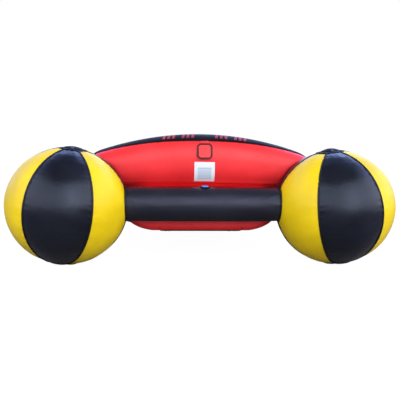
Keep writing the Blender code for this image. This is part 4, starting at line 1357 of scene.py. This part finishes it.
def make_cushions():
    tilt = Matrix.Rotation(DECK_TILT, 4, "X")
    for index, (word, side) in enumerate(SIDES):
        surface = partial(arm_point, side)
        make_cushion(
            f"armrest_{word}", surface, ARM_RANGE, f"armrest_{word}_cover", 10.0 + index
        )
        top = surface(ARM_RANGE[1] - CUSHION_PLUG_INSET, pi / 2, 0.0030)
        make_inflation_plug(f"armrest_{word}_plug", Matrix.Translation(top) @ tilt)
    make_cushion("nose_roll", roll_point, (-ROLL_HALF, ROLL_HALF), "nose_roll_cover", 20.0)
    make_inflation_plug("nose_roll_plug", Matrix.Translation(roll_point(0.0, pi / 2, 0.0030)))


# ---------------------------------------------------------------- handles


def smooth_path(points, steps=6):
    """A smooth curve through (y, z) points."""
    made = []
    count = len(points)
    for i in range(count - 1):
        p0, p1 = Vector(points[max(i - 1, 0)]), Vector(points[i])
        p2, p3 = Vector(points[i + 1]), Vector(points[min(i + 2, count - 1)])
        for k in range(steps):
            t = k / steps
            square, cube = 2 * p0 - 5 * p1 + 4 * p2 - p3, 3 * p1 - p0 - 3 * p2 + p3
            made.append(0.5 * (2 * p1 + (p2 - p0) * t + square * t**2 + cube * t**3))
    made.append(Vector(points[-1]))
    return made


HANDLE_SEWN = -HANDLE_LIFT + 0.0045  # height of the webbing's sewn ends


def box_stitch(name, matrix):
    """A crossed square of thread over each sewn end of a handle's webbing."""
    lines = ((-1, 1, 0, 1), (-1, 1, 1, 0), (-1, -1, 0, 1), (1, 1, 0, 1), (-1, 1, 0, 0), (-1, 1, 1, 1))
    up, z = normal_of(matrix), HANDLE_SEWN + STRAP_THICKNESS / 2 + 0.0002
    runs = []
    for end in (-1, 1):
        for x0, x1, y0, y1 in lines:
            spots = []
            for t in spread(0, 1, 6):
                y = end * lerp(HANDLE_HALF + 0.012, HANDLE_HALF + 0.040, lerp(y0, y1, t))
                spots.append((matrix @ Vector((0.0088 * lerp(x0, x1, t), y, z)), up))
            runs.append(spots)
    thread = sweep(f"{name}_box_stitch", runs, round_profile(0.0007, 6), [GREY_THREAD])
    place(thread, "lounge")


def make_handle(name, body, matrix, patch):
    """A webbing loop sewn to a patch, with a foam grip."""
    half, rise, sewn = HANDLE_HALF, HANDLE_RISE, HANDLE_SEWN
    one = [
        (half + 0.044, sewn), (half + 0.024, sewn), (half + 0.008, sewn + 0.0006),
        (half + 0.0015, sewn + 0.006), (half, 0.0), (half - 0.003, 0.013), (half - 0.007, 0.025),
        (half - 0.014, rise - 0.012), (half - 0.024, rise - 0.002), (half - 0.036, rise),
    ]
    path = smooth_path(one + [(-y, z) for y, z in reversed(one)], 5)
    stations = []
    for i, spot in enumerate(path):
        along = path[min(i + 1, len(path) - 1)] - path[max(i - 1, 0)]
        out = Vector((0, along.y, -along.x)).normalized()
        stations.append((matrix @ Vector((0, spot.x, spot.y)), matrix.to_3x3() @ out))
    strap = sweep(f"{name}_webbing", [stations], strap_profile(STRAP_WIDTH, STRAP_THICKNESS), [WEBBING])
    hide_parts(f"{name}_strap")
    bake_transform(strap)
    core, groove, shoulder = GRIP_BORE + 0.0003, GRIP_RADIUS - 0.0008, GRIP_RADIUS - 0.003
    profile = [(core, GRIP_HALF), (shoulder, GRIP_HALF), (groove, GRIP_HALF - 0.0012)]
    for z in spread(GRIP_HALF - 0.004, -GRIP_HALF + 0.004, 11):
        profile += [(GRIP_RADIUS, z + 0.0022), (groove, z)]
    profile += [(groove, -GRIP_HALF + 0.0012), (shoulder, -GRIP_HALF), (core, -GRIP_HALF)]
    turn = matrix @ Matrix.Translation((0, 0, rise)) @ Matrix.Rotation(pi / 2, 4, "X")
    grip = turned(f"{name}_foam", profile, turn, [FOAM], 36)
    place(grip, body, [f"{name}_grip"])
    place(patch, "lounge")
    box_stitch(name, matrix)


def make_handles():
    across = (-HANDLE_PATCH_X, HANDLE_PATCH_X)
    for name, (body, y) in DECK_HANDLES.items():
        at = (0, AXIS_Y + y, deck_z(y) + HANDLE_LIFT)
        matrix = Matrix.Translation(at) @ Matrix.Rotation(DECK_TILT, 4, "X")
        along = (y - HANDLE_PATCH_Y, y + HANDLE_PATCH_Y)
        patch = deck_patch(f"{name}_patch", across, along, 0.0022, [BLACK])
        make_handle(name, body, matrix, patch)
    for word, side in SIDES:
        z = deck_z(ARM_HANDLE_Y) + ARM_LIFT + ARM_HALF_HEIGHT + HANDLE_LIFT
        at = (side * ARM_X, AXIS_Y + ARM_HANDLE_Y, z)
        matrix = Matrix.Translation(at) @ Matrix.Rotation(DECK_TILT, 4, "X")
        angles = spread(radians(72), radians(108), 12)
        top, bottom = [], []
        for y in spread(ARM_HANDLE_Y - HANDLE_PATCH_Y, ARM_HANDLE_Y + HANDLE_PATCH_Y, 40):
            top.append([arm_point(side, y, a, 0.0056) for a in angles])
            bottom.append([arm_point(side, y, a, 0.0026) for a in angles])
        patch = slab(f"arm_handle_{word}_patch", top, bottom, [BLACK])
        make_handle(f"arm_handle_{word}", f"arm_handle_{word}", matrix, patch)


# ---------------------------------------------------------------- tow point


def make_tow_point():
    low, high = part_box("tow_patch")
    centre = (low + high) / 2
    face = Matrix.Translation((centre.x, low.y, centre.z)) @ Matrix.Rotation(-pi / 2, 4, "X")
    width, thick, height = high - low
    patch = rounded_plate("tow_anchor_patch", face, width, height, 0.014, 0.0, thick, 0.0, [WEBBING])
    place(patch, "lounge", ["tow_patch"])
    runs = []
    front = high.y + 0.0003
    for inset in (0.006, 0.010):
        outline = rounded_outline(width - 2 * inset, height - 2 * inset, 0.010)
        runs.append([(Vector((p.x, front, TOW_Z + p.y)), Vector((0, 1, 0))) for p in outline])
    stitch = sweep("tow_patch_stitch", runs, round_profile(0.0007, 6), [GREY_THREAD], True)
    place(stitch, "lounge")
    r = TOW_STRAP_RADIUS
    start = high.y + 0.0014 - AXIS_Y
    loop = [(start, 0.024), (start + 0.0015, 0.012), (start + 0.010, r + 0.001)]
    loop += [(TOW_BAR_Y + r * cos(a), r * sin(a)) for a in [pi / 2 - pi * i / 12 for i in range(13)]]
    loop += [(start + 0.010, -r - 0.001), (start + 0.0015, -0.012), (start, -0.024)]
    path = smooth_path(loop, 4)
    stations = []
    for i, spot in enumerate(path):
        along = path[min(i + 1, len(path) - 1)] - path[max(i - 1, 0)]
        out = Vector((0, -along.y, along.x)).normalized()
        stations.append((Vector((0, AXIS_Y + spot.x, TOW_Z + spot.y)), out))
    strap = sweep("tow_loop", [stations], strap_profile(TOW_STRAP_WIDTH, STRAP_THICKNESS), [WEBBING])
    place(strap, "lounge", ["tow_strap"])
    make_ring()


def make_ring():
    """The D-ring: a straight bar, two small corners and a half oval."""
    straight, shoulder = RING_HALF - RING_CORNER, 0.020
    corner = [
        (straight + RING_CORNER * sin(a), -RING_CORNER + RING_CORNER * cos(a))
        for a in spread(0.3, pi / 2, 4)
    ]
    shape = [(-straight, 0.0), (straight, 0.0)] + corner
    shape += [
        (RING_HALF * cos(a), -shoulder + (RING_DROP - shoulder) * sin(a))
        for a in spread(0.0, -pi, 28)
    ]
    shape += [(-x, z) for x, z in reversed(corner)]
    forward = Vector((0, 1, 0))
    spots = [(Vector((x, AXIS_Y + TOW_BAR_Y, TOW_Z + z)), forward) for x, z in shape]
    ring = sweep("tow_d_ring", [spots], round_profile(RING_WIRE, 14), [STEEL], True)
    place(ring, "tow_ring", ["tow_ring"])


# ---------------------------------------------------------------- what stays from the CAD


def finish_cad_nodes():
    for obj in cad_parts.values():
        if not obj.hide_render:
            obj.data.materials.clear()
            obj.data.materials.append(PVC)


# ---------------------------------------------------------------- camera, light and floor

CAMERA_AT = (-0.301, -3.80, 0.8955)  # y from the balls' axis
CAMERA_TURN = (-0.1332, -0.0145, -0.0747)  # about X, Y and Z
CAMERA_LENS = 57.26


def make_camera():
    data = bpy.data.cameras.new("camera")
    data.lens = CAMERA_LENS
    data.sensor_width = 36.0
    x, y, z = CAMERA_TURN
    turn = Matrix.Rotation(z, 3, "Z") @ Matrix.Rotation(x, 3, "X") @ Matrix.Rotation(y, 3, "Y")
    right, forward, up = turn.col[0], turn.col[1], turn.col[2]
    matrix = Matrix((right, up, -forward)).transposed().to_4x4()
    matrix.translation = Vector((CAMERA_AT[0], AXIS_Y + CAMERA_AT[1], CAMERA_AT[2]))
    obj = bpy.data.objects.new("camera", data)
    bpy.context.scene.collection.objects.link(obj)
    obj.matrix_world = matrix
    bpy.context.scene.camera = obj


def ramp_of(tree, value, stops):
    made = tree.nodes.new("ShaderNodeValToRGB")
    tree.links.new(value, made.inputs["Fac"])
    elements = made.color_ramp.elements
    while len(elements) < len(stops):
        elements.new(0.5)
    for element, (position, colour) in zip(elements, stops):
        element.position = position
        element.color = (*colour, 1.0)
    return made.outputs["Color"]


SKY_STRENGTH = 5.4


def show(tree, output, lighting, seen):
    """Ends a tree: one shader lights the scene, and the camera sees the other."""
    both = tree.nodes.new("ShaderNodeMixShader")
    ray = tree.nodes.new("ShaderNodeLightPath").outputs["Is Camera Ray"]
    for link, socket in zip((ray, lighting.outputs[0], seen.outputs[0]), both.inputs):
        tree.links.new(link, socket)
    tree.links.new(both.outputs[0], tree.nodes.new(output).inputs["Surface"])


def make_world():
    """Soft daylight: pale above the horizon and dark overhead. The camera sees plain white."""
    world = bpy.data.worlds.new("studio")
    bpy.context.scene.world = world
    world.use_nodes = True
    tree = world.node_tree
    tree.nodes.clear()
    split = tree.nodes.new("ShaderNodeSeparateXYZ")
    tree.links.new(tree.nodes.new("ShaderNodeTexCoord").outputs["Generated"], split.inputs[0])
    height = range_of(tree, split.outputs["Z"], -1.0, 1.0, 0.0, 1.0)
    ground, low, pale = (0.10, 0.10, 0.11), (0.34, 0.34, 0.38), (0.82, 0.84, 0.90)
    high, deep = (0.62, 0.65, 0.74), (0.035, 0.040, 0.060)
    haze, blue = (0.42, 0.47, 0.66), (0.30, 0.42, 0.86)
    stops = [(0.0, ground), (0.48, ground), (0.52, low), (0.60, pale), (0.84, high), (0.93, deep)]
    rear = ramp_of(tree, height, stops + [(1.0, deep)])
    stops = [(0.0, ground), (0.49, ground), (0.56, haze), (0.80, blue), (0.92, deep), (1.0, deep)]
    front = ramp_of(tree, height, stops)
    ahead = range_of(tree, split.outputs["Y"], -0.12, 0.30, 0.0, 1.0)
    sky = mix_of(tree, ahead, rear, front)
    across = range_of(tree, split.outputs["X"], -1.0, 1.0, 0.0, 1.0)
    shares = ((0.0, 0.50), (0.47, 0.50), (0.62, 1.0), (0.80, 0.66))
    side = ramp_of(tree, across, [(position, (share,) * 3) for position, share in shares])
    light = tree.nodes.new("ShaderNodeBackground")
    tree.links.new(sky, light.inputs["Color"])
    tree.links.new(math_of(tree, "MULTIPLY", side, SKY_STRENGTH), light.inputs["Strength"])
    white = node_of(tree, "ShaderNodeBackground", Color=(1.0, 1.0, 1.0, 1.0), Strength=1.0)
    show(tree, "ShaderNodeOutputWorld", light, white)


def make_floor():
    """A floor that looks white to the camera and throws back only a little light."""
    bm = bmesh.new()
    bmesh.ops.create_circle(bm, cap_ends=True, segments=64, radius=14.0)
    floor = to_object("floor", bm, [])
    floor.location.z = -0.0005
    made = bpy.data.materials.new("pale_floor")
    made.use_nodes = True
    tree = made.node_tree
    tree.nodes.clear()
    dark = node_of(tree, "ShaderNodeBsdfDiffuse", Color=(0.215, 0.205, 0.200, 1.0))
    shade = node_of(tree, "ShaderNodeBsdfDiffuse", Color=(0.10, 0.10, 0.10, 1.0))
    glow = node_of(tree, "ShaderNodeEmission", Color=(1.0, 1.0, 1.0, 1.0), Strength=0.97)
    pale = tree.nodes.new("ShaderNodeAddShader")
    tree.links.new(shade.outputs[0], pale.inputs[0])
    tree.links.new(glow.outputs[0], pale.inputs[1])
    show(tree, "ShaderNodeOutputMaterial", dark, pale)
    floor.data.materials.append(made)


def main():
    bpy.context.scene.view_settings.view_transform = "Standard"
    make_camera()
    make_world()
    make_floor()
    for word, side in SIDES:
        make_ball(word, side)
    make_cross_tube()
    make_backrest()
    make_hull()
    make_hull_details()
    make_cushions()
    make_handles()
    make_tow_point()
    finish_cad_nodes()


main()
